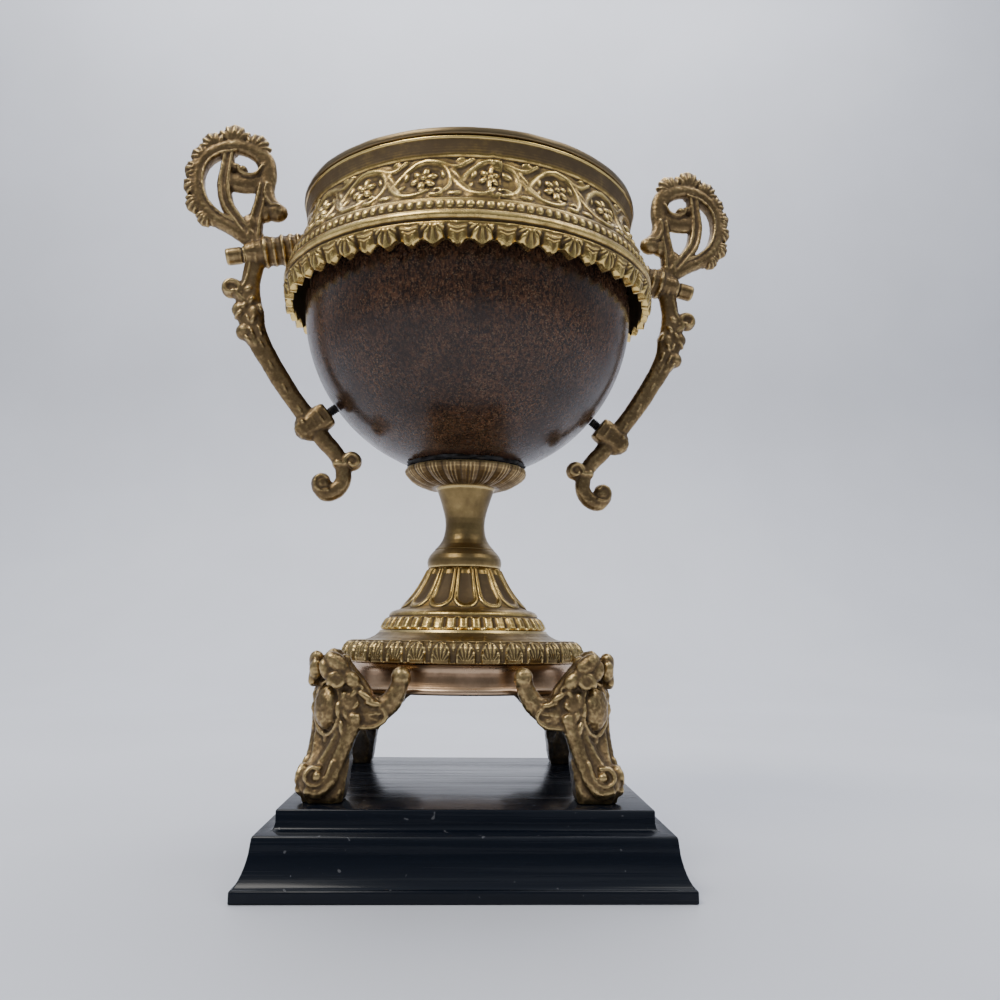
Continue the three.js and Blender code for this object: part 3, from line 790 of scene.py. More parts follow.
@dataclass
class Foot:
    """What stands on the legs: drum, leaf-edged cover, fluted cone, stem and leafy cup."""

    leaves: int = 34
    eggs: int = 42
    flutes: int = 14
    lobes: int = 20

    def drum(self) -> bpy.types.Object:
        """Turns the plain waisted drum with its lower bead."""
        section = [
            (0, 40.2), (52.6, 40.2, 9), (53.2, 40.7), (53.4, 41.6), (53.1, 42.5), (52.4, 43), (52.1, 43.4),
            (51.5, 45.2), (51.2, 47.4), (51.3, 49.4), (51.9, 51), (53, 52.2), (0, 52.45),
        ]
        obj = turned("waisted_drum", section, 192, 0.7)
        mark_hollows(obj, 10, 1.2)
        return obj

    def leaf(self, turn: Array, r: Array, h: Array) -> tuple[Array, Array]:
        """Carves the ring of upright water leaves, each with a midrib and slanting veins."""
        dx, _ = within(turn, self.leaves, 1.2)
        x = np.radians(dx) * r
        pitch = 2 * math.pi * 54 / self.leaves
        over = np.clip((h - 54.6) / 7.0, 0, 1)
        half = 0.40 * pitch * np.sqrt(np.clip(1 - over**2.2, 0, 1)) + 0.01
        inside = ease(np.abs(x), half, half - 0.5)
        angle = np.arctan2(np.abs(x), h - 52.4)
        veins = 0.26 * np.cos(angle * 2 * np.pi / 0.3) * ease(h, 53.6, 55.4) * ease(np.abs(x), half - 0.3, half - 0.9)
        edge = 0.8 * bump(np.abs(x), half - 0.3, 0.42)
        leaf = (0.7 + veins) * inside + edge
        dart = 0.75 * bump(0.5 * pitch - np.abs(x), 0, 0.55) * ease(h, 57.2, 59)
        ring = ease(h, 52.8, 53.5) * ease(h, 62.0, 61.4) * (r > 49)
        return r + (np.maximum(leaf, dart) - 0.9) * ring, h

    def cover(self) -> bpy.types.Object:
        """Turns the cover: its leaf ring and the dome swept up inside it."""
        section = [
            (0, 52.5), (53.4, 52.5, 9), (54.8, 53), (55.2, 54.4), (55.1, 57), (54.3, 59.2), (52.8, 61),
            (51.2, 61.9), (50, 62), (49.4, 61.5), (48.4, 61.4), (45.6, 61.9), (42.6, 62.8), (40.4, 64),
            (39, 65.2), (38.3, 66.3), (0, 66.36),
        ]
        obj = turned("leaf_ring_cover", section, self.leaves * 24, 0.4, self.leaf)
        mark_hollows(obj, 6, 1.8)
        return obj

    def flute(self, turn: Array, r: Array, h: Array) -> tuple[Array, Array]:
        """Carves the egg band and the tongue-shaped flutes over it."""
        dx, _ = within(turn, self.eggs, 0.0)
        egg = np.abs(dx) / (180 / self.eggs)
        band = ease(h, 66.8, 67.6) * ease(h, 72.2, 71.4)
        eggs = (0.75 * np.clip(1 - (egg / 0.66) ** 4, 0, 1) - 0.9 * bump(egg, 1, 0.26)) * band
        dx, _ = within(turn, self.flutes, 2.0)
        d = self.flute_share(dx, r, h)
        along = ease(h, 75.9, 76.8) * ease(h, 94.6, 93.9)
        channel = -1.35 * np.sqrt(np.clip(1 - (d / 0.66) ** 2, 0, 1))
        border = 0.5 * bump(d, 0.78, 0.2)
        between = -0.8 * ease(d, 0.93, 1.0)
        return r + eggs + (channel + border + between) * along, h

    def flute_share(self, dx: Array, r: Array, h: Array) -> Array:
        """Returns 0 in the middle of a flute and 1 half way to the next, with a round lower end."""
        half = math.pi * r / self.flutes
        below = np.clip(81.0 - h, 0, None) * 1.3
        return np.hypot(np.radians(dx) * r, below) / half

    def flute_darkening(self, p: Array) -> Array:
        """Returns extra darkening for the flutes' channels."""
        turn = np.degrees(np.arctan2(p[:, 0], -p[:, 1]))
        r = np.hypot(p[:, 0], p[:, 1])
        dx, _ = within(turn, self.flutes, 2.0)
        flute = ease(self.flute_share(dx, r, p[:, 2]), 0.64, 0.5) * ease(p[:, 2], 76, 77.5)
        return 0.2 * flute

    def cone(self) -> bpy.types.Object:
        """Turns the cone: egg band, bead and flutes."""
        section = [
            (0, 66.4), (37, 66.4, 9), (37.6, 66.7), (37.5, 67.6), (36.6, 69.6), (35.3, 71.6), (34.9, 72.1),
            (34.4, 72.3), (34.3, 72.6), (34.4, 73.1), (34, 73.9), (33.2, 74.6), (32, 75.2), (31, 75.5), (30.3, 75.6),
            (29.6, 75.9), (27.6, 78), (25.3, 80.6), (23.1, 83.4), (21.1, 86.4), (19.4, 89.4), (18, 92.2),
            (17.1, 94), (16.8, 94.66), (0, 94.66),
        ]
        obj = turned("fluted_cone_casting", section, self.eggs * 16, 0.4, self.flute)
        mark_hollows(obj, 8, 1.25, self.flute_darkening)
        return obj

    def stem(self) -> bpy.types.Object:
        """Turns the waisted stem over its bulge with the incised line."""
        section = [
            (0, 94.7), (16.4, 94.7, 9), (16.9, 95), (17.2, 96.2), (17.35, 97.6), (17.1, 99.1), (16.3, 100.8),
            (15.1, 102.3), (14.25, 103.2), (13.8, 103.4), (13.95, 103.7), (13.1, 104.6), (11.8, 106.1), (10.6, 108.1),
            (9.8, 110.3), (9.35, 112.8), (9.2, 115.5), (9.4, 118.2), (10, 121.1), (10.8, 124), (11.8, 127.2),
            (12.8, 130.1), (13.6, 132.2), (13.7, 132.66), (0, 132.66),
        ]
        obj = turned("turned_stem", section, 144, 0.45)
        mark_hollows(obj, 10, 0.2)
        return obj

    def frond(self, turn: Array, r: Array, h: Array) -> tuple[Array, Array]:
        """Carves the cup's fronds: a ribbed strap each, their tips curling over the rim."""
        dx, _ = within(turn, self.lobes, 4.0)
        share = np.abs(dx) / (180 / self.lobes)
        outer = ease(r, 14.6, 17) * ease(h, 143.4, 142.4) * (h < 217.5 - np.sqrt(80.9**2 - np.minimum(r, 60) ** 2) + 0.2)
        size = r / 28
        strap = 1.3 * (np.sqrt(np.clip(1 - share**2, 0, 1)) - 0.75) * size
        rib = 0.45 * bump(share, 0, 0.1) + 0.35 * bump(share, 0.4, 0.08)
        tip = 0.5 * ease(r, 25.5, 28) * (1 - share**2)
        lift = (strap + rib * size) * outer
        return r + 0.5 * lift + tip * outer, h - 0.7 * lift + 0.7 * ease(r, 26, 28.4) * (0.5 - share**2)

    def cup(self) -> bpy.types.Object:
        """Turns the leafy cup whose hollow top follows the ball."""
        section = [
            (0, 132.7), (13.6, 132.7, 9), (15.6, 132.8), (18, 133.2), (21.2, 134.2), (24.2, 135.8), (26.4, 137.5),
            (27.7, 139.2), (28.1, 140.6), (27.8, 141.6), (27, 141.6), (20, 139.4, 1.2), (10, 137.5, 2), (0, 136.9),
        ]
        obj = turned("leafy_cup", section, self.lobes * 24, 0.4, self.frond)
        mark_hollows(obj, 8, 1.3)
        return obj

    def bedding(self) -> bpy.types.Object:
        """Lays the ragged ring of bedding between cup and bowl; its near-black colour also paints the shadow in that
        gap.
        """
        ball, thick = 78.3, 1.7

        def lift(r: float, sphere: float) -> float:
            return 217.5 - math.sqrt(sphere**2 - r**2)

        radii = (13, 18, 23, 27.6)
        under = [(r, lift(r, ball + thick)) for r in radii]
        over = [(r, lift(r, ball + 0.1)) for r in reversed(radii)]

        def ragged(turn: Array, r: Array, h: Array) -> tuple[Array, Array]:
            a = np.radians(turn)
            round_it = np.stack([np.cos(a) * 9, np.sin(a) * 9, h * 0.8], axis=1)
            wander = hashed_noise(round_it, 1.1, 3) + 0.6 * hashed_noise(round_it, 0.4, 4)
            return r + 1.1 * wander * ease(r, 24, 27), h

        obj = turned("bedding_and_shadow_ring", [*under, *over, under[0]], 240, 0.6, ragged)
        return obj

    def build(self, finishes: Finishes) -> None:
        """Makes and dresses the foot's pieces, the stem and the cup."""
        # The drum's lighter brass copy paints its reflected highlight.
        settled(self.drum(), finishes.drum, "foot_drum")
        settled(self.cover(), finishes.turned, "foot_cover")
        settled(self.cone(), finishes.gallery, "fluted_cone")
        settled(self.stem(), finishes.turned, "stem")
        settled(self.cup(), finishes.cast, "calyx")
        settled(self.bedding(), finishes.bedding, "bowl_seat")


# ---------------------------------------------------------------- bowl


@dataclass
class Bowl:
    """The glazed ball, open above in a short neck."""

    radius: float = 78.0
    centre: float = 217.5
    wall: float = 4.0
    neck: float = 71.5
    rim: float = 266.2

    def ball(self) -> bpy.types.Object:
        """Turns the hollow ball with its rolled mouth edge."""

        def arc(radius: float, start: float, stop: float, steps: int) -> list[Point]:
            angles = np.radians(np.linspace(start, stop, steps))
            return [(max(radius * math.cos(a), 0), self.centre + radius * math.sin(a)) for a in angles]

        shoulder = math.degrees(math.acos(self.neck / self.radius))
        inner = self.radius - self.wall
        inner_shoulder = math.degrees(math.acos((self.neck - self.wall) / inner))
        outside = arc(self.radius, -90, shoulder, 60)
        inside = arc(inner, inner_shoulder, -90, 40)
        outside[0] = (0.0, outside[0][1])
        inside[-1] = (0.0, inside[-1][1])
        lip = [
            (self.neck, self.rim - 0.8), (self.neck - 0.8, self.rim), (self.neck - self.wall + 0.8, self.rim),
            (self.neck - self.wall, self.rim - 0.8),
        ]
        return turned("glazed_ball", [*outside, *lip, *inside], 224, 4.0)

    def build(self, finishes: Finishes) -> None:
        """Makes and dresses the bowl."""
        settled(self.ball(), finishes.glaze, "bowl")


# ---------------------------------------------------------------- gallery


class Scrolls:
    """The frieze's running scroll as raised strokes and leaves on a repeating strip."""

    half_tile = 14.0

    def __init__(self) -> None:
        """Lays out the scrolls, leaves and petals round one flower."""
        self.strokes: list[tuple[Point, Point, float, float]] = []
        self.leaves: list[tuple[float, float, float, float, float, float]] = []
        over = [(-13.4, -3.4), (-11.4, 0.4), (-7.4, 5), (-2.6, 7.8), (3.4, 8.2), (8.4, 5.8), (10.8, 1.8), (11, -3), (9, -7)]
        flick = [(0.6, 8.4), (6.2, 7.6), (11, 6.2), (15.4, 6.4), (19.6, 9.0)]
        under = [(-16, 0.6), (-13.2, -3.6), (-9.8, -7.2), (-5.2, -9.0), (-0.6, -8.4), (2.2, -6.6)]
        branch = [(11.4, 4.2), (14.2, 1.0), (16, -2.8), (19, -6.6)]
        curl = [(4, -8.8), (6.6, -9.2), (8.2, -7.4), (7, -5.6), (5.4, -6.4)]
        for line, from_half, to_half in (
            (over, 2.0, 1.4), (flick, 2.2, 1.0), (under, 1.8, 1.1), (branch, 1.6, 1.0), (curl, 1.2, 1.0),
        ):
            self.stroke(smooth_line(line, 3 * len(line)), from_half, to_half, 1.0)
            self.stroke(smooth_line(line, 2 * len(line)), 1.9 * from_half, 1.9 * to_half, 0.5)
        for u, v, size, angle in (
            (-15.2, 5.2, 3.2, 35), (-12.2, 8.0, 3.2, 12), (13.4, -8.2, 3.2, 8), (-15.0, -8.4, 3.0, -14), (15, 9.2, 2.4, 25),
            (-9.0, -4.0, 2.4, 60), (-7.6, 2.2, 2.6, 75), (7.8, 2.4, 2.4, 110), (0.2, -6.2, 2.0, 10),
        ):
            self.leaf(u, v, size, 0.45 * size, angle, 0.85)
        for i in range(6):
            a = math.radians(60 * i + 20)
            self.leaf(3.4 * math.cos(a), 3.4 * math.sin(a), 2.6, 1.85, 60 * i + 20, 1.3)
        self.leaf(0.2, 0.1, 1.7, 1.7, 0, 1.65)

    def stroke(self, points: Sequence[Point], from_half: float, to_half: float, height: float) -> None:
        """Adds a tapering raised line."""
        last = len(points) - 1
        for i, (a, b) in enumerate(zip(points[:-1], points[1:])):
            half = from_half + (to_half - from_half) * i / last
            self.strokes.append((tuple(a), tuple(b), half, height))

    def leaf(self, u: float, v: float, long: float, wide: float, angle: float, height: float) -> None:
        """Adds a leaf or petal."""
        self.leaves.append((u, v, long, wide, math.radians(angle), height))

    def height(self, x: Array, y: Array) -> Array:
        """Returns the relief's height, in shares of its full depth, at x along and y up from the middle."""
        tile = 2 * self.half_tile
        x = (x + self.half_tile) % tile - self.half_tile
        best = np.zeros_like(x)
        for a, b, half, tall in self.strokes:
            ax, ay, bx, by = *a, *b
            span = max((bx - ax) ** 2 + (by - ay) ** 2, 1e-6)
            for shift in (-tile, 0, tile):
                if min(ax, bx) + shift > self.half_tile + 4 or max(ax, bx) + shift < -self.half_tile - 4:
                    continue
                px, py = x - ax - shift, y - ay
                t = np.clip((px * (bx - ax) + py * (by - ay)) / span, 0, 1)
                d = np.hypot(px - t * (bx - ax), py - t * (by - ay)) / half
                best = np.maximum(best, tall * np.clip(1 - d**2, 0, 1) ** 0.75)
        for u, v, long, wide, angle, tall in self.leaves:
            for shift in (-tile, 0, tile):
                if abs(u + shift) > self.half_tile + 4:
                    continue
                px, py = x - u - shift, y - v
                along = (px * math.cos(angle) + py * math.sin(angle)) / long
                across = (-px * math.sin(angle) + py * math.cos(angle)) / wide
                d = along**2 + across**2
                best = np.maximum(best, tall * np.sqrt(np.clip(1 - d, 0, 1)))
        return best


@dataclass
class Gallery:
    """The gilt gallery round the bowl: scalloped skirt, beads, half round, frieze and lip."""

    scallops: int = 56
    beads: int = 134
    flowers: int = 18
    flower_phase: float = 6.2
    skirt_phase: float = 3.2
    middle: float = 247.3
    outside: Sequence[Point] = (
        (85.9, 214.6), (86.6, 217.5), (87.3, 220.5), (87.8, 223.4), (87.9, 225), (87.2, 225.7), (87.1, 226.2),
        (88.1, 226.8), (88.6, 227.7), (88.5, 228.9), (87.7, 230.2), (86.9, 230.7), (86.9, 231), (86.6, 234.6),
        (86.4, 234.9), (86.2, 235.6), (85.4, 236.5), (85.2, 236.6), (83, 240), (81.2, 243.4), (79.5, 247), (78.2, 251),
        (77.6, 254), (77.8, 257.3), (78.6, 257.8), (78.9, 258.4), (79.0, 259.2), (79.3, 262), (79.7, 264.9),
        (80.1, 265.3), (80.2, 265.9), (79.8, 266.3),
    )

    def seam(self, h: Array) -> Array:
        """Returns the turn at which the strip's two ends lap, for each height."""
        return 9.5 + (h - 259) * 0.064

    def skirt(self, turn: Array, h: Array) -> tuple[Array, Array, Array]:
        """Returns the skirt's relief, its lower edge, and the share of each scallop that a point lies at."""
        dx, which = within(turn, self.scallops, self.skirt_phase)
        share = dx / (180 / self.scallops)
        edge = 215.9 + 3.1 * np.abs(np.sin(share * math.pi / 2)) ** 1.6
        x = share * 4.8
        down = 224.6 - h
        angle = np.degrees(np.arctan2(x, np.maximum(down + 1.2, 0.2)))
        spread = ease(angle, 62, 50)
        fan = (0.55 + 0.4 * np.cos(np.radians(angle) * 360 / 21)) * spread * ease(down, 0.2, 1.6)
        corner = 0.4 * np.exp(-(((np.abs(x) - 3.4) / 0.9) ** 2) - ((down - 1.6) / 0.9) ** 2)
        tie = 0.75 * bump(down, 2.6, 0.7) * ease(np.abs(x), 4.2, 3.2)
        bars = 0.5 * bump(down, 4.6, 0.55) * ease(np.abs(x), 3.4, 2.6) + 0.5 * bump(np.abs(x), 1.5, 0.8) * ease(down, 5, 6)
        notched = tie + bars + 0.35 * bump(x, 0, 0.7) * ease(down, 1.8, 0.4)
        carved = np.where(which % 2 == 0, fan + corner, notched)
        valley = -1.2 * bump(np.abs(share), 1, 0.17) * ease(down, 1.0, 6.5)
        crown = 0.75 * (1 - share**2) * ease(down, 1.0, 8.0)
        return (carved + valley + crown) * ease(h, 225.4, 224.3), edge, share

    def relief(self, scrolls: Scrolls, inner: Callable[[Array], Array]) -> Relief:
        """Returns the function that carves the gallery's outer face and scallops its lower edge."""

        def carve(turn: Array, r: Array, h: Array) -> tuple[Array, Array]:
            outer = r > inner(h)
            add, edge, _ = self.skirt(turn, h)
            low = h < 225
            lowered = np.where(low, 225 - (225 - h) * (225 - edge) / (225 - 214.6), h)
            dx, _ = within(turn, self.beads)
            ball = np.hypot(np.radians(dx) * 87, h - 232.8)
            beads = 0.95 * np.sqrt(np.clip(1 - (ball / 1.75) ** 2, 0, 1)) - 0.3 * bump(h, 232.8, 1.8)
            seam = self.seam(h)
            squeezed = turn + 2.0 * bump(turn, 8.4, 3.0)
            x = (squeezed - self.flower_phase) * 56 / 40
            field = ease(h, 236.2, 237.4) * ease(h, 257.8, 256.9)
            frieze = 1.5 * scrolls.height(x, h - self.middle) * field
            strip = bump(turn, seam - 1.9, 1.9) * ease(turn, seam + 0.1, seam - 0.3)
            around = np.stack([turn * 1.4, h, 0 * h], axis=1)
            lumpy = strip * (0.6 + 0.7 * hashed_noise(around, 2.3, 7)) * ease(h, 235.5, 237) * ease(h, 262.5, 257)
            lap = 0.6 * ease(h, 258.5, 255) * ease(turn, seam - 13, seam - 1.5) * (turn < seam) * ease(h, 236, 237)
            proud = add + beads * ((h > 230.6) & (h < 235)) + frieze + lumpy + lap * (h < 264)
            rings = 0.07 * np.cos((h - 258) * 5.2) * ease(h, 259.2, 260) * ease(h, 265, 264.4)
            dents = 0.12 * hashed_noise(np.stack([turn * 1.4, h * 1.5, 0 * h], axis=1), 6.0, 9)
            return r + np.where(outer, proud + rings + dents, 0), np.where(low, lowered, h)

        return carve

    def ring(self) -> bpy.types.Object:
        """Turns the gallery and carves it."""
        inside = [
            (75.5, 266.4, 3), (72.6, 266.4, 3), (72.8, 263, 3), (74.8, 250, 6), (83.2, 233, 6), (83.9, 224, 4),
            (84, 214.6, 4), (85.9, 214.6, 2),
        ]
        heights = np.array([214, 224, 233, 250, 262, 266.3])
        middles = np.array([85.2, 85.6, 84.9, 76.3, 76.5, 77.0])

        def inner(h: Array) -> Array:
            return np.interp(h, heights, middles)

        section = [*self.outside, *inside]
        obj = turned("carved_gallery", section, 840, 0.56, self.relief(Scrolls(), inner))

        # Painted shade on the gallery's inner face and on faces under the skirt's lower edge; tarnish together with
        # painted shade on the concave plain band under the lip.
        def tarnish_and_painted_shade(p: Array) -> Array:
            r = np.hypot(p[:, 0], p[:, 1])
            facing = (p[:, :2] * normals(obj)[:, :2]).sum(axis=1) / r
            plain = ease(p[:, 2], 257.6, 259.4) * ease(p[:, 2], 265.4, 264.2)
            under = ease(p[:, 2], 222.5, 220) * ease(facing, 0.5, 0.1)
            return 0.2 * plain + 0.5 * (r < inner(p[:, 2])) + 1.2 * under

        mark_hollows(obj, 10, 0.9, tarnish_and_painted_shade)
        return obj

    def rim(self) -> bpy.types.Object:
        """Turns the flat ring that covers the bowl's mouth."""
        section = [
            (66.5, 266.9), (80, 266.9, 4), (80.5, 267.2), (80.6, 267.8), (80.5, 269), (80.2, 269.8), (79.4, 270.3),
            (78.4, 270.4), (70, 270.1, 3), (67, 270.2, 3), (66.5, 269.8), (66.5, 266.9),
        ]

        def worn(turn: Array, r: Array, h: Array) -> tuple[Array, Array]:
            a = np.radians(turn)
            rim_point = np.stack([np.cos(a) * r, np.sin(a) * r, h], axis=1)
            wander = hashed_noise(rim_point, 9.0, 5)
            return r + 0.18 * wander * (r > 79), h + 0.08 * wander * (h > 268)

        obj = turned("mouth_ring", section, 320, 0.5, worn)
        mark_hollows(obj, 10, 1.4)
        return obj

    def build(self, finishes: Finishes) -> None:
        """Makes and dresses the gallery and the mouth ring."""
        settled(self.ring(), finishes.gallery, "gallery")
        # The mouth ring wears the darker brass copy, which paints its shade.
        settled(self.rim(), finishes.shaded_rim_brass, "mouth_rim")


# ---------------------------------------------------------------- legs


@dataclass(frozen=True)
class Level:
    """One level of a leg's outline, in mm."""

    h: float
    reach: float
    run: float
    thick: float
    flat: float


@dataclass
class Legs:
    """The four cast corner legs: leafy under the drum, each face ending in a volute."""

    levels: Sequence[Level] = (
        Level(0.05, 61.0, 15.4, 13.4, 3.0), Level(4, 61.6, 17, 14.6, 2.0), Level(11, 61.0, 17.2, 14.4, 2.5),
        Level(15, 59.6, 16.4, 12, 4.0), Level(19, 58.8, 15.6, 10, 6.0), Level(27, 58.4, 18.4, 9, 9.5),
        Level(31, 58.5, 25, 9, 10.5), Level(42, 58.6, 22.6, 9, 10.5), Level(50, 57.0, 15, 8, 8.0),
        Level(55, 55.2, 9, 6, 4.8), Level(58.2, 53.6, 4.5, 3.4, 2.4),
    )
    drum_clear: float = 54.0
    shelf_top: float = 39.7

    def post(self) -> bpy.types.Object:
        """Lofts the corner post through its levels, an L that wraps the corner."""
        table = np.array([[v.h, v.reach, v.run, v.thick, v.flat] for v in self.levels])
        rows = smooth_line(table, 64)
        cap = rows[[0, -1]]

        def place(u: Array, v: Array) -> Array:
            row = np.rint(v * 65).astype(int)
            h, reach, run, thick, flat = np.vstack([cap[:1], rows, cap[1:]])[row].T
            inner = reach - thick
            tip = reach - run
            root = np.maximum(tip, inner - 3)
            trough = 0.9 * flat
            corners = np.array([
                [-reach + flat, -reach], [-tip - 2, -reach], [-tip, -reach + 1.6], [-tip, -inner],
                [-root, -inner], [-inner, -root], [-inner, -tip], [-reach + 1.6, -tip],
                [-reach, -tip - 2], [-reach, -reach + flat],
                [-reach + 0.5 * flat + 0.25 * trough, -reach + 0.5 * flat + 0.25 * trough],
            ])
            at = np.rint(u * 88).astype(int) % 88 / 8
            i = at.astype(int)
            share = at - i
            here = corners[i, :, np.arange(len(i))]
            there = corners[(i + 1) % 11, :, np.arange(len(i))]
            flat_place = here + (there - here) * share[:, None]
            middle = np.stack([-(reach - thick / 2), -(reach - thick / 2)], axis=1)
            closed = (row == 0) | (row == 65)
            flat_place = np.where(closed[:, None], middle, flat_place)
            return np.stack([flat_place[:, 0], flat_place[:, 1], h], axis=1)

        return wrapped("leg_post", 88, 65, place)

    def reach(self, h: float) -> float:
        """Returns how far the faces stand from the axis at a height."""
        return float(np.interp(h, [v.h for v in self.levels], [v.reach for v in self.levels]))

    def bar(self, line: Sequence[Point], halves: Sequence[float], proud: float, depth: float = 1.6) -> bpy.types.Object:
        """Sweeps a bar over the front face through [x, height] points."""
        path = [(x, -self.reach(h) - proud + depth * 0.5, h) for x, h in line]
        return swept("leg_bar", path, halves, depth, step=0.7, around=14)

    def side(self, lumps: Lumps) -> list[bpy.types.Object]:
        """Lays the leaf work, wing and volute of the front face."""
        wing = [(-46, -55, 35), (-37, -55.4, 34), (-30, -55.6, 36.4), (-26.4, -55.4, 40.8), (-24.6, -55, 46)]
        made = [
            swept("leg_wing", wing, [7, 6, 4.6, 3.9, 3.6], 3.2, step=0.8),
            lumps.lump((-24.3, -55.2, 47.4), (4.1, 3.9, 4.4)),
            self.bar([(-40.6, 28.4), (-34.6, 28.6), (-30.6, 30.8), (-29.8, 33.8), (-32.4, 36.6)], [1.2, 1.1, 1.0, 0.9], 0.2),
            self.bar([(-46.6, 51.6), (-43.0, 47.4), (-39.0, 43.4)], [1.0, 0.8, 0.6], 1.0, 1.2),
            self.bar([(-41.8, 32), (-43.4, 26.5), (-45.2, 21.5), (-47.6, 15), (-50, 8.8), (-53.8, 4.6), (-58, 5.0)],
                     [3.0, 3.0, 3.0, 2.9, 2.8, 2.5, 2.0], 1.2, 2.6),
            self.bar([(-49.6, 15.5), (-51.2, 10.6), (-54.2, 7.4), (-57.6, 7.6), (-59.4, 10.4), (-57.6, 13.4), (-54, 13.6)],
                     [0.8, 1.0, 1.0, 1.0, 1.0, 1.0, 0.8], 2.0, 1.7),
            lumps.lump((-55.4, -60.0, 7.6), (6.2, 3.0, 6.4)),
            lumps.lump((-54.8, -62.3, 10.3), (2.1, 2.2, 2.1)),
            lumps.lump((-49.4, -58.6, 53.0), (6.0, 3.3, 3.5), -42),
            lumps.lump((-43.9, -58.2, 47.0), (5.2, 3.3, 3.1), -48),
            swept("leg_curl", [(x, -60.0, z) for x, _, z in spiral((-49, 46.2), 200, -190, 3.2, 1.6, 0)],
                  [1.2, 1.2, 1.0], 1.5, step=0.6, around=12),
            lumps.lump((-53.6, -58.4, 50.4), (2.6, 2.6, 4.4), 20),
            lumps.lump((-49.0, -58.8, 46.3), (2.9, 2.6, 2.9)),
            lumps.lump((-44.4, -58.0, 38.0), (4.4, 2.6, 4.6), 30),
        ]
        for x, h, long, wide, turn in (
            (-42.4, 41.6, 2.4, 1.3, 62), (-46.0, 39.8, 2.8, 1.3, 98), (-41.6, 36.6, 2.2, 1.2, 48),
            (-45.2, 33.4, 3.2, 1.4, 108), (-37.6, 40.2, 3.8, 1.4, -34), (-34.8, 37.6, 3.6, 1.4, -14),
            (-48.2, 35.0, 3.4, 1.2, 92), (-46.4, 27.8, 3.8, 1.2, 102),
        ):
            made.append(lumps.lump((x, -self.reach(h) - 0.2, h), (long, 1.9, wide), turn))
        for i in range(5):
            a = math.radians(-34 + 18 * i)
            centre = (-41.4 + 6.4 * math.cos(a), -57.9 + 0.35 * abs(i - 2), 33.4 + 5.6 * math.sin(a))
            made.append(lumps.lump(centre, (4.9, 1.8, 1.15), math.degrees(a)))
        return made

    def corner(self, lumps: Lumps) -> list[bpy.types.Object]:
        """Lays what sits on the flattened corner: crest, oval in its frame, drops and ribs."""
        frame = []
        for i in range(27):
            a = 2 * math.pi * i / 24
            frame.append((8.0 * math.sin(a), -74.6 + 0.5 * math.cos(a), 35.6 + 10.6 * math.cos(a)))
        made = [
            lumps.lump((0, -75.6, 35.6), (6.3, 4.3, 8.7)),
            swept("oval_frame", frame, [1.1, 1.1], 1.6, step=0.7, around=12),
            lumps.lump((0, -73.2, 52.4), (3.3, 4.2, 6.4)),
            lumps.lump((-4.6, -72.0, 50.4), (3.0, 3.8, 6.2), 14),
            lumps.lump((4.6, -72.0, 50.4), (3.0, 3.8, 6.2), -14),
            lumps.lump((0, -75.0, 23.2), (1.8, 1.6, 1.8)),
            lumps.lump((0, -75.2, 18.0), (1.4, 1.6, 3.6)),
        ]
        for side in (-1, 1):
            rib = [(side * x, -y, h) for x, y, h in (
                (6.2, 72.2, 26.0), (4.6, 73.4, 22.0), (4.4, 74.8, 17.0), (5.2, 76.8, 12.5), (6.4, 79.0, 8.0),
            )]
            made.append(swept("corner_rib", rib, [1.1, 1.3, 1.4, 1.4, 1.2], 1.6, step=0.7, around=12))
        only(*made)
        bpy.ops.object.join()
        joined = bpy.context.object
        joined.data.transform(Matrix.Rotation(math.radians(-45), 4, "Z"))
        return [joined]

    def casting(self, lumps: Lumps) -> bpy.types.Object:
        """Fuses the front-left leg and clears the drum's room out of it."""
        only()
        side = self.side(lumps)
        mirrored = []
        swap = Matrix(((0, 1, 0, 0), (1, 0, 0, 0), (0, 0, 1, 0), (0, 0, 0, 1)))
        for obj in side:
            twin = bpy.data.objects.new("mirrored", obj.data.copy())
            bpy.context.scene.collection.objects.link(twin)
            twin.data.transform(swap)
            twin.data.flip_normals()
            mirrored.append(twin)
        only()
        bpy.ops.mesh.primitive_cube_add(size=1.0)
        shelf = bpy.context.object
        outline = {(-1, -1): (-54, -54), (1, -1): (-24, -50), (1, 1): (-36, -36), (-1, 1): (-50, -24)}
        corners = [
            (*outline[(int(np.sign(x)), int(np.sign(y)))], self.shelf_top - 1.5 + 3 * z) for x, y, z in vertices(shelf)
        ]
        lay(shelf, np.array(corners))
        made = fused("cast_leg", [self.post(), shelf, *side, *mirrored, *self.corner(lumps)], 0.5, 5)
        p = vertices(made)
        r = np.hypot(p[:, 0], p[:, 1])
        over = (p[:, 2] > self.shelf_top) & (r < self.drum_clear)
        sink = over & (p[:, 2] - self.shelf_top < self.drum_clear - r)
        push = over & ~sink
        p[sink, 2] = self.shelf_top
        p[push, :2] *= (self.drum_clear / np.maximum(r[push], 1))[:, None]
        p[:, 2] = np.maximum(p[:, 2], 0.05)
        lay(made, p)
        roughen(made, 0.11, 0.9, 4)
        roughen(made, 0.14, 3.4, 8)
        mark_hollows(made, 12, 1.1)
        n, p = normals(made), vertices(made)
        out = (p[:, :2] * n[:, :2]).sum(axis=1) / np.maximum(np.hypot(p[:, 0], p[:, 1]), 1)
        # Painted shade: near black on the low inner faces that look towards the axis, and on faces that look downwards.
        mark_painted_shade(made, 0.9 * ease(out, -0.05, -0.5) * ease(p[:, 2], 36, 30) + 0.5 * ease(n[:, 2], -0.5, -0.9))
        return made

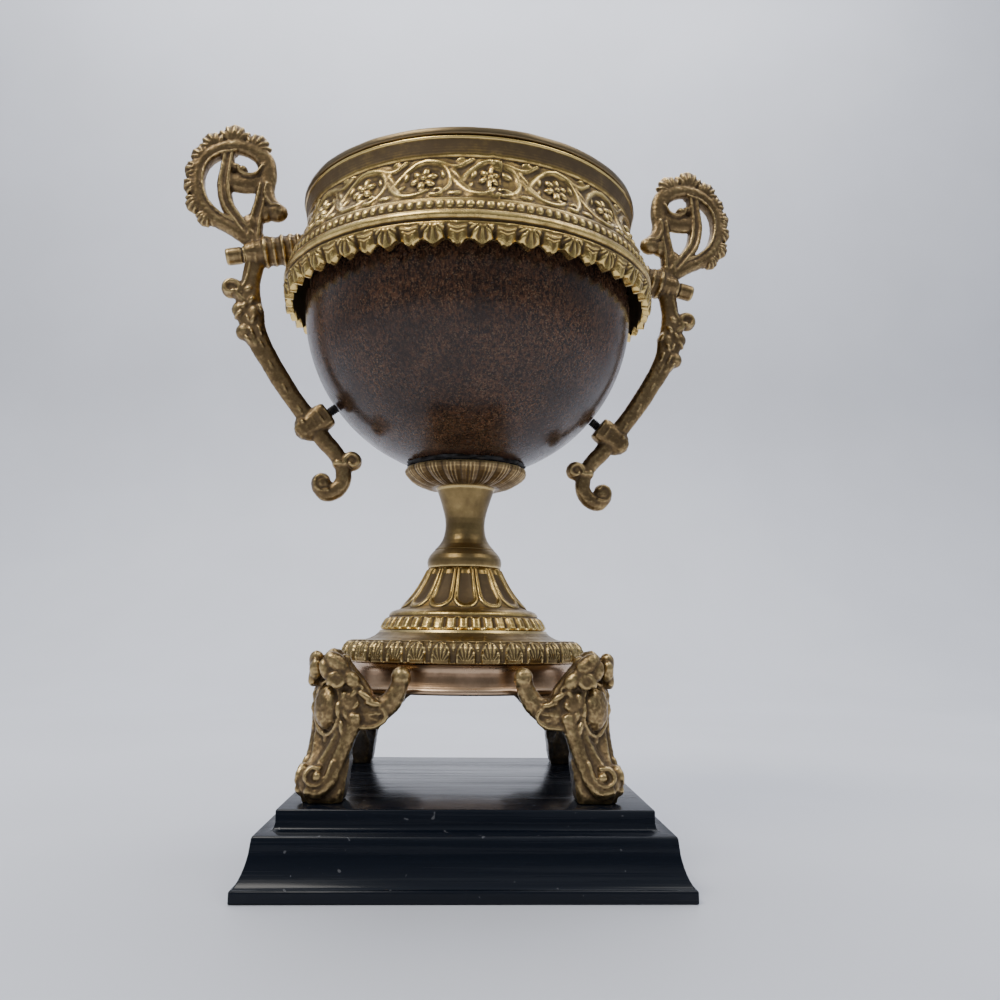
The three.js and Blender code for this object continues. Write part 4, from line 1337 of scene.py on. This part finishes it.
    def build(self, finishes: Finishes, lumps: Lumps) -> None:
        """Makes one leg, turns its copies to the other corners and dresses all four."""
        first = self.casting(lumps)
        names = ("leg_front_left", "leg_front_right", "leg_back_right", "leg_back_left")
        copies = [first]
        for _ in names[1:]:
            twin = bpy.data.objects.new("cast_leg", first.data.copy())
            bpy.context.scene.collection.objects.link(twin)
            copies.append(twin)
        for i, (name, obj) in enumerate(zip(names, copies)):
            obj.data.transform(Matrix.Rotation(math.radians(90 * i), 4, "Z"))
            obj.name = "cast_" + name
            settled(obj, finishes.cast, name, crease=80)


# ---------------------------------------------------------------- handles


@dataclass
class Handles:
    """The two scroll handles with their studs and screws, built on the right and turned into place."""

    depth: float = 3.9
    stud_at: Point = (106.6, 241.2)
    stud_tilt: float = -12.0
    boss_face: Point = (65.3, 166.3)
    ball_centre: float = 217.5
    ball_clear: float = 78.3

    def ribbed(self, line: Sequence[Point], halves: Sequence[float], depth: float, rib: float = 0.36) -> list[bpy.types.Object]:
        """Sweeps a scroll bar through [x, height] points: a core with a raised rib along each edge."""
        path = [(x, 0.0, h) for x, h in line]
        made = [swept("scroll_core", path, halves, depth * 0.74, step=0.9)]
        rough = smooth_line(path, 60)
        tangent = np.gradient(rough, axis=0)
        tangent /= np.linalg.norm(tangent, axis=1)[:, None]
        across = np.stack([-tangent[:, 2], 0 * tangent[:, 0], tangent[:, 0]], axis=1)
        half = np.interp(np.linspace(0, 1, 60), np.linspace(0, 1, len(halves)), halves)
        for side in (-1, 1):
            edge = rough + across * (side * half * (1 - rib))[:, None]
            made.append(swept("scroll_rib", edge, list(half * rib), depth, step=0.8, around=14))
        return made

    def head(self, lumps: Lumps) -> list[bpy.types.Object]:
        """Makes the pierced scroll with its shells."""
        ring = [
            (104.4, 248), (113, 253.4), (121.8, 257.8), (128.4, 265.2), (131.0, 275.6), (129.2, 285.8), (123.2, 292.2),
            (115, 295.2), (106.4, 294), (100.4, 289.6), (98.6, 282), (98.8, 275), (97.2, 269), (93.4, 265),
        ]
        halves = [3.6, 3.4, 3.1, 2.8, 2.7, 2.8, 3.1, 3.4, 3.8, 4.5, 4.4, 3.8, 3.4, 3.2]
        made = [swept("ring", [(x, 0.0, h) for x, h in ring], halves, 3.3, step=0.9, squareness=2.3)]
        rim = [(112, 256), (119.6, 260.2), (125.8, 266.6), (128.4, 275.8), (126.8, 284.2), (121.4, 289.8), (114, 292.2)]
        made.append(swept("ring_rim", [(x, 0.0, h) for x, h in rim], [0.9, 1.0, 1.0, 0.9], 3.9, step=0.7, around=12))
        made += self.ribbed(
            [(105, 250), (111.2, 257.6), (116.4, 265), (118.4, 274), (118, 282), (117, 291)],
            [2.9, 3.0, 3.3, 3.5, 3.1, 2.8], 3.7, 0.47,
        )
        made += self.ribbed([(103.6, 248), (103, 258), (101.4, 267), (100, 276)], [4.0, 3.6, 3.2, 3.2], 3.6, 0.47)
        made += [
            swept("bridge", [(117, 0, 277.6), (109.6, 0, 276.8), (101, 0, 278)], [4.6, 4.8, 5.0], 2.8),
            swept("bridge_lip", [(112.6, 0, 284.8), (111.4, 0, 281.8), (107.8, 0, 280.4), (103.8, 0, 281.6), (101, 0, 285.8)],
                  [1.2, 1.4, 1.5, 1.4, 1.2], 4.1, step=0.6, around=14),
            lumps.lump((110.2, 0, 283.2), (2.4, 4.3, 2.3)),
            lumps.lump((114.2, 0, 284.8), (3.8, 3.4, 1.8), 40),
            swept("tail_ridge", [(98.6, 0, 277), (99.4, 0, 271.4), (96.6, 0, 266.8), (92.6, 0, 266.2)], [1.2, 1.3, 1.3, 1.2],
                  4.1, step=0.6, around=14),
            lumps.lump((93.4, 0, 263.6), (5.2, 3.9, 4.6)),
            lumps.lump((98.8, 0, 262.6), (4.0, 3.6, 4.4)),
            lumps.lump((105.4, 0, 256.4), (4.6, 3.5, 5.4)),
        ]
        shells = (
            (-62, 25.4, 3.8), (-42, 23.2, 4.3), (-18, 20.0, 4.5), (6, 18.8, 4.6), (31, 18.8, 4.5), (58, 20.2, 5.1),
            (88, 22.0, 5.6), (119, 21, 5.3),
        )
        for degrees, out, size in shells:
            a = math.radians(degrees)
            middle = (114.2 + out * math.cos(a), 0.0, 279.5 + out * math.sin(a))
            made.append(lumps.lump(middle, (size * 0.95, 2.4, size * 0.95), degrees))
            base = out - 0.95 * size
            root = (114.2 + base * math.cos(a), 279.5 + base * math.sin(a))
            for rib in range(-2, 3):
                spread = degrees + rib * 23
                way = math.radians(spread)
                far = size * (1.0 - 0.06 * abs(rib))
                centre = (root[0] + far * math.cos(way), 0, root[1] + far * math.sin(way))
                made.append(lumps.lump(centre, (size * 0.92, 3.5 - 0.2 * abs(rib), size * 0.31), spread))
        return made

    def shaft(self, lumps: Lumps) -> list[bpy.types.Object]:
        """Makes the shaft, leafy above, plain below and hooked at its end."""
        line = [
            (103.6, 250), (102, 243), (102.8, 235), (103.8, 228), (104.4, 219.5), (103.0, 211), (101, 204.4),
            (97.6, 197), (93, 189.4), (88, 181.4), (82.6, 173.6), (76.8, 166), (71.4, 159), (66.6, 153),
            (61.6, 147.6), (58.2, 141.6), (57.4, 135), (60.4, 130), (65, 128.5), (68.4, 131.2),
        ]
        halves = [5.2, 5.2, 4.6, 4.4, 5.8, 6.4, 5.4, 5.0, 4.6, 4.6, 4.3, 4.3, 4.3, 4.1, 3.8, 3.7, 3.7, 3.9, 4.0, 3.4]
        path = [(x, 0.0, h) for x, h in line]
        made = [swept("shaft", path, halves, 3.3, step=0.9, squareness=2.3)]
        made.append(swept("neck_rib", [(104.8, 0, 246), (104.4, 0, 236), (105.4, 0, 229), (107.6, 0, 222)],
                          [1.5, 1.4, 1.5, 1.6], 3.8, step=0.7, around=14))
        curl = [(x, 0.0, z) for x, _, z in spiral((112.4, 223.6), 225, -140, 4.0, 2.0, 0)]
        made.append(swept("leaf_curl", [(106.2, 0, 217.6), *curl], [2.2, 2.0, 1.9, 1.8, 1.5], 3.9, step=0.6, around=14))
        made.append(lumps.lump((112.4, 0, 223.6), (4.6, 2.9, 4.5)))
        made.append(lumps.lump((107.0, 0, 213.8), (4.9, 3.9, 4.4)))
        made.append(lumps.lump((105.2, 0, 203.2), (4.3, 3.9, 4.2)))
        made.append(lumps.lump((101.4, 0, 211.6), (3.6, 4.2, 6.2)))
        made.append(lumps.lump((100.6, 0, 198.6), (6.2, 3.9, 3.0), 58))
        leaf_forms = (
            (104.4, 223.4, 3.6, 2.2, -35, 4.3), (102.6, 218.2, 3.4, 2.0, -58, 4.7), (98.6, 214.6, 3.0, 1.3, 68, 4.2),
            (101.4, 208.8, 3.8, 1.8, -66, 4.7), (106.0, 215.0, 3.8, 1.6, -46, 4.5), (107.6, 211.6, 3.6, 1.4, -40, 4.3),
            (103.8, 209.0, 3.2, 1.4, 60, 4.5), (101.6, 202.0, 5.6, 1.3, 62, 4.5), (98.2, 203.6, 4.8, 1.3, 66, 4.2),
            (103.4, 199.0, 4.2, 1.4, 52, 4.1), (97.4, 197.4, 5.4, 1.2, 60, 4.0),
        )
        for x, h, long, wide, turn, deep in leaf_forms:
            made.append(lumps.lump((x, 0, h), (long, deep, wide), turn))
        for x, h, turn in ((92.6, 187.4, 58), (85.6, 176.4, 56), (78.4, 166.6, 53)):
            made.append(lumps.lump((x, 0, h), (5.2, 3.9, 1.5), turn))
        made.append(lumps.lump((67.4, 0, 133.0), (4.7, 4.1, 4.7)))
        hook = [(x, 0.0, z) for x, _, z in spiral((66.6, 133.4), -120, 130, 4.4, 2.6, 0)]
        made.append(swept("hook_curl", hook, [1.8, 1.6, 1.4], 4.1, step=0.6, around=14))
        small = [(x, 0.0, z) for x, _, z in spiral((53.4, 143.6), -20, 320, 3.9, 1.7, 0)]
        made.append(swept("small_curl", [(60.4, 0, 142.6), *small], [2.6, 1.7, 1.6, 1.5, 1.3], 3.9, step=0.6, around=14))
        made.append(lumps.lump((53.4, 0, 143.6), (4.4, 3.2, 4.4)))
        return made

    def stud_point(self, t: float) -> tuple[float, float, float]:
        """Returns the point on the stud's axis t mm out from the handle's face."""
        a = math.radians(self.stud_tilt)
        return self.stud_at[0] + t * math.cos(a), 0.0, self.stud_at[1] + t * math.sin(a)

    def inward(self) -> Array:
        """Returns the direction from the lower boss to the ball's centre."""
        way = np.array([-self.boss_face[0], 0.0, self.ball_centre - self.boss_face[1]])
        return way / np.linalg.norm(way)

    def bosses(self, lumps: Lumps) -> list[bpy.types.Object]:
        """Makes the wrapped distance piece on the neck and the square-ended boss below."""
        made = [swept("neck_boss", [self.stud_point(t) for t in (-29, -20, -10, -2.6)], [6.6, 6.8, 6.6, 5.6], 6.2, step=0.9)]
        for t, radius, thick in (
            (-25.0, 7.6, 1.9), (-21.2, 7.2, 1.7), (-17.4, 7.8, 2.2), (-13.2, 7.2, 1.9), (-9.0, 7.6, 2.6), (-4.2, 6.4, 2.2),
        ):
            made.append(lumps.lump(self.stud_point(t), (thick, radius, radius), self.stud_tilt))
        wrap = [(97.5, 0, 249.0), (93.0, 0, 247.6), (89.0, 0, 248.4), (86.6, 0, 251.4)]
        made.append(swept("boss_leaf", wrap, [1.8, 1.9, 1.8, 1.6], 4.4, step=0.6, around=14))
        face = np.array([self.boss_face[0], 0.0, self.boss_face[1]])
        way = self.inward()
        turn = math.degrees(math.atan2(way[2], way[0]))
        line = [tuple(face - way * t) for t in (14.0, 9.0, 4.0, 2.4)]
        made.append(swept("low_boss", line, [4.6, 5.2, 6.3, 6.2], 4.4, step=0.8, squareness=3.2))
        for t, radius, thick in ((0.9, 6.2, 0.9), (4.6, 6.6, 1.3), (8.0, 6.2, 1.4)):
            made.append(lumps.lump(tuple(face - way * t), (thick, radius * 0.76, radius), turn))
        made.append(lumps.lump(tuple(face - way * 12.2), (6.8, 4.6, 5.3), 52))
        made.append(lumps.lump(tuple(face - way * 12.6 + np.array([1.6, 0, 2.2])), (2.2, 5.1, 2.2)))
        return made

    def casting(self, lumps: Lumps) -> bpy.types.Object:
        """Fuses a handle and fits it to the gallery, the stud and the boss's face."""
        made = fused("cast_handle", [*self.head(lumps), *self.shaft(lumps), *self.bosses(lumps)], 0.48, 2)
        roughen(made, 0.1, 1.2, 2)
        p = vertices(made)
        r = np.hypot(p[:, 0], p[:, 1])
        heights = [200, 214, 229, 231, 236.6, 243.4, 249, 255, 257.6, 266, 272]
        radii = [88.2, 88.9, 88.9, 88.3, 87.6, 83.6, 80.6, 79.6, 79.8, 80.8, 81]
        p[:, 0] = np.minimum(p[:, 0], 136.9 - 0.02 * np.abs(p[:, 1]))
        p[:, 2] = np.minimum(p[:, 2], 306.5)
        room = np.interp(p[:, 2], heights, radii)
        near = (r < room) & (p[:, 2] > 200) & (p[:, 2] < 272)
        p[near, :2] *= (room / np.maximum(r, 1))[near, None]
        a = math.radians(self.stud_tilt)
        axis = np.array([math.cos(a), 0, math.sin(a)])
        start = np.array(self.stud_point(0))
        t = (p - start) @ axis
        off = np.linalg.norm(p - start - t[:, None] * axis, axis=1)
        seat = (t > 0) & (t < 14) & (off < 4.8)
        p[seat] -= axis * t[seat, None]
        way = self.inward()
        over = (p - np.array([self.boss_face[0], 0, self.boss_face[1]])) @ way
        tip = (over > 0) & (over < 6) & (p[:, 0] < 72) & (p[:, 2] > 158)
        p[tip] -= way * over[tip, None]
        lay(made, p)
        mark_hollows(made, 10, 1.0)
        return made

    def stud(self) -> bpy.types.Object:
        """Turns the bevelled stud and lays it along its axis."""
        section = [
            (0, -0.4), (3.6, -0.4, 2), (4.0, 0), (4.1, 0.6), (3.7, 1.0), (3.55, 1.3), (3.8, 1.7), (4.0, 2.2), (4.05, 5.6),
            (4.0, 7.9), (3.7, 8.6), (3.1, 9.0), (0, 9.1),
        ]
        obj = turned("round_stud", section, 64, 0.35)
        mark_hollows(obj, 8, 2.0)
        quarter = Matrix.Rotation(math.radians(90), 4, "Y")
        tilt = Matrix.Rotation(math.radians(-self.stud_tilt), 4, "Y")
        obj.data.transform(Matrix.Translation(Vector(self.stud_point(0.4))) @ tilt @ quarter)
        return obj

    def screw(self) -> bpy.types.Object:
        """Turns the threaded screw between lower boss and ball."""
        way = self.inward()
        face = np.array([self.boss_face[0], 0.0, self.boss_face[1]])
        clear = math.hypot(self.boss_face[0], self.ball_centre - self.boss_face[1]) - self.ball_clear

        def thread(turn: Array, r: Array, h: Array) -> tuple[Array, Array]:
            wave = np.cos(2 * np.pi * (h / 0.9 - turn / 360))
            return r + 0.22 * wave * (r > 1.5) * ease(h, 0.2, 0.6) * ease(h, clear - 0.2, clear - 0.6), h

        section = [(0, 0.1), (2.05, 0.1, 2), (2.05, clear - 0.1), (0, clear - 0.1)]
        obj = turned("threaded_screw", section, 48, 0.1, thread)
        lean = math.degrees(math.atan2(way[0], way[2]))
        obj.data.transform(Matrix.Translation(Vector(tuple(face))) @ Matrix.Rotation(math.radians(lean), 4, "Y"))
        return obj

    def build(self, finishes: Finishes, lumps: Lumps) -> None:
        """Makes the right side's pieces, copies them to the left and dresses all."""
        pieces = (
            (self.casting(lumps), "handle", "cast_handle", finishes.cast, "cast_brass"),
            (self.stud(), "handle_stud", "round_stud", finishes.cast, "cast_brass"),
            (self.screw(), "handle_screw", "threaded_screw", finishes.steel, "screw_steel"),
        )
        for obj, node, name, finish, slot in pieces:
            twin = bpy.data.objects.new(name, obj.data.copy())
            bpy.context.scene.collection.objects.link(twin)
            for side, one, turn in (("right", obj, HANDLE_TURN), ("left", twin, HANDLE_TURN + 180)):
                one.data.transform(Matrix.Rotation(math.radians(turn), 4, "Z"))
                one.name = f"{name}_{side}"
                settled(one, finish, f"{node}_{side}", crease=75)


# ---------------------------------------------------------------- studio


@dataclass
class Studio:
    """The pale studio: floor curving up into a backdrop, soft lights and the camera."""

    eye: Point = (0.0, -0.4116, 0.0946)
    pitch: float = 8.74
    roll: float = 0.62
    yaw: float = 2.28
    lens: float = 31.57
    floor_colour: Point = (0.66, 0.67, 0.72)

    def camera(self) -> None:
        """Sets the camera at the viewing angle."""
        pitch, roll, yaw = (math.radians(v) for v in (self.pitch, self.roll, self.yaw))
        forward = Vector((math.sin(yaw) * math.cos(pitch), math.cos(yaw) * math.cos(pitch), math.sin(pitch)))
        right = Vector((math.cos(yaw), -math.sin(yaw), 0))
        up = right.cross(forward)
        across = right * math.cos(roll) + up * math.sin(roll)
        over = up * math.cos(roll) - right * math.sin(roll)
        data = bpy.data.cameras.new("viewing_camera")
        data.lens = self.lens
        data.sensor_width = 36.0
        data.clip_start = 0.01
        obj = bpy.data.objects.new("viewing_camera", data)
        bpy.context.scene.collection.objects.link(obj)
        place = Matrix((across, over, -forward)).transposed().to_4x4()
        place.translation = Vector(self.eye)
        obj.matrix_world = place
        bpy.context.scene.camera = obj

    def floor(self) -> None:
        """Lays the floor, rising behind the urn into a backdrop."""
        start, radius, top = 0.75, 0.6, 2.6

        def place(u: Array, v: Array) -> Array:
            run = v * (start + 1.6 + radius * math.pi / 2 + top)
            flat = np.minimum(run, start + 1.6)
            turn = np.clip((run - start - 1.6) / radius, 0, math.pi / 2)
            rise = np.maximum(run - start - 1.6 - radius * math.pi / 2, 0)
            y = flat - 1.6 + radius * np.sin(turn)
            z = radius * (1 - np.cos(turn)) + rise
            return np.stack([(u - 0.5) * 7.0, y, z], axis=1)

        only()
        bpy.ops.mesh.primitive_grid_add(x_subdivisions=8, y_subdivisions=96, size=1.0)
        obj = bpy.context.object
        obj.name = "studio_floor"
        flat = vertices(obj)
        lay(obj, place(flat[:, 0] + 0.5, flat[:, 1] + 0.5))
        only(obj)
        bpy.ops.object.shade_smooth()
        made = bpy.data.materials.new("studio_floor")
        made.use_nodes = True
        s = Sockets(made.node_tree)
        shader = made.node_tree.nodes["Principled BSDF"]
        where = s.node("ShaderNodeTexCoord").outputs["Object"]
        cloud = s.noise(where, 3.0, 3.0)
        darker = tuple(0.94 * v for v in self.floor_colour)
        s.feed(shader.inputs["Base Color"], s.mix(s.spread(cloud, 0.3, 0.7), (*darker, 1), (*self.floor_colour, 1)))
        shader.inputs["Roughness"].default_value = 0.55
        obj.data.materials.append(made)

    def world(self) -> None:
        """Fills the air with pale blue-grey light."""
        world = bpy.data.worlds.new("studio_air")
        world.use_nodes = True
        s = Sockets(world.node_tree)
        back = world.node_tree.nodes["Background"]
        way = s.node("ShaderNodeTexCoord").outputs["Generated"]
        split = s.node("ShaderNodeSeparateXYZ")
        s.feed(split.inputs[0], way)
        behind = s.spread(split.outputs["Y"], -0.9, 0.4, 0.2, 0.66)
        above = s.spread(split.outputs["Z"], 0.0, 0.8, 0.0, 0.5)
        back.inputs["Color"].default_value = (0.66, 0.72, 0.82, 1)
        s.feed(back.inputs["Strength"], s.math("ADD", behind, above))
        bpy.context.scene.world = world

    def light(self, name: str, at: Point, target: Point, size: tuple[float, float], power: float, colour: Point) -> None:
        """Adds one soft area light that faces its target."""
        data = bpy.data.lights.new(name, "AREA")
        data.shape = "RECTANGLE"
        data.size, data.size_y = size
        data.energy = power
        data.color = colour
        obj = bpy.data.objects.new(name, data)
        bpy.context.scene.collection.objects.link(obj)
        way = Vector(target) - Vector(at)
        obj.matrix_world = Matrix.Translation(Vector(at)) @ way.to_track_quat("-Z", "Y").to_matrix().to_4x4()

    def build(self) -> None:
        """Sets floor, air, lights and camera."""
        self.floor()
        self.world()
        middle = (0, 0, 0.18)
        self.light("high_front_left", (-0.9, -0.9, 1.75), middle, (0.8, 0.8), 21.0, (1.0, 0.96, 0.88))
        self.light("high_right", (1.0, -0.5, 1.6), middle, (0.7, 0.7), 5.5, (1.0, 0.97, 0.93))
        self.light("overhead", (0.0, 0.6, 1.9), middle, (1.8, 1.2), 18.0, (0.97, 0.98, 1.0))
        self.light("backdrop_wash", (0.0, 0.7, 2.2), (0, 2.4, 0.7), (2.4, 0.8), 30.0, (0.93, 0.95, 1.0))
        self.camera()


# ---------------------------------------------------------------- the urn


def main() -> None:
    """Builds every piece of the urn, then the studio round it."""
    logging.basicConfig(level=logging.INFO, format="%(name)s: %(message)s")
    finishes = Finishes()
    lumps = Lumps()
    Plinth().build(finishes)
    Legs().build(finishes, lumps)
    Foot().build(finishes)
    Bowl().build(finishes)
    Gallery().build(finishes)
    Handles().build(finishes, lumps)
    lumps.clear()
    Studio().build()


if __name__ == "__main__":
    main()
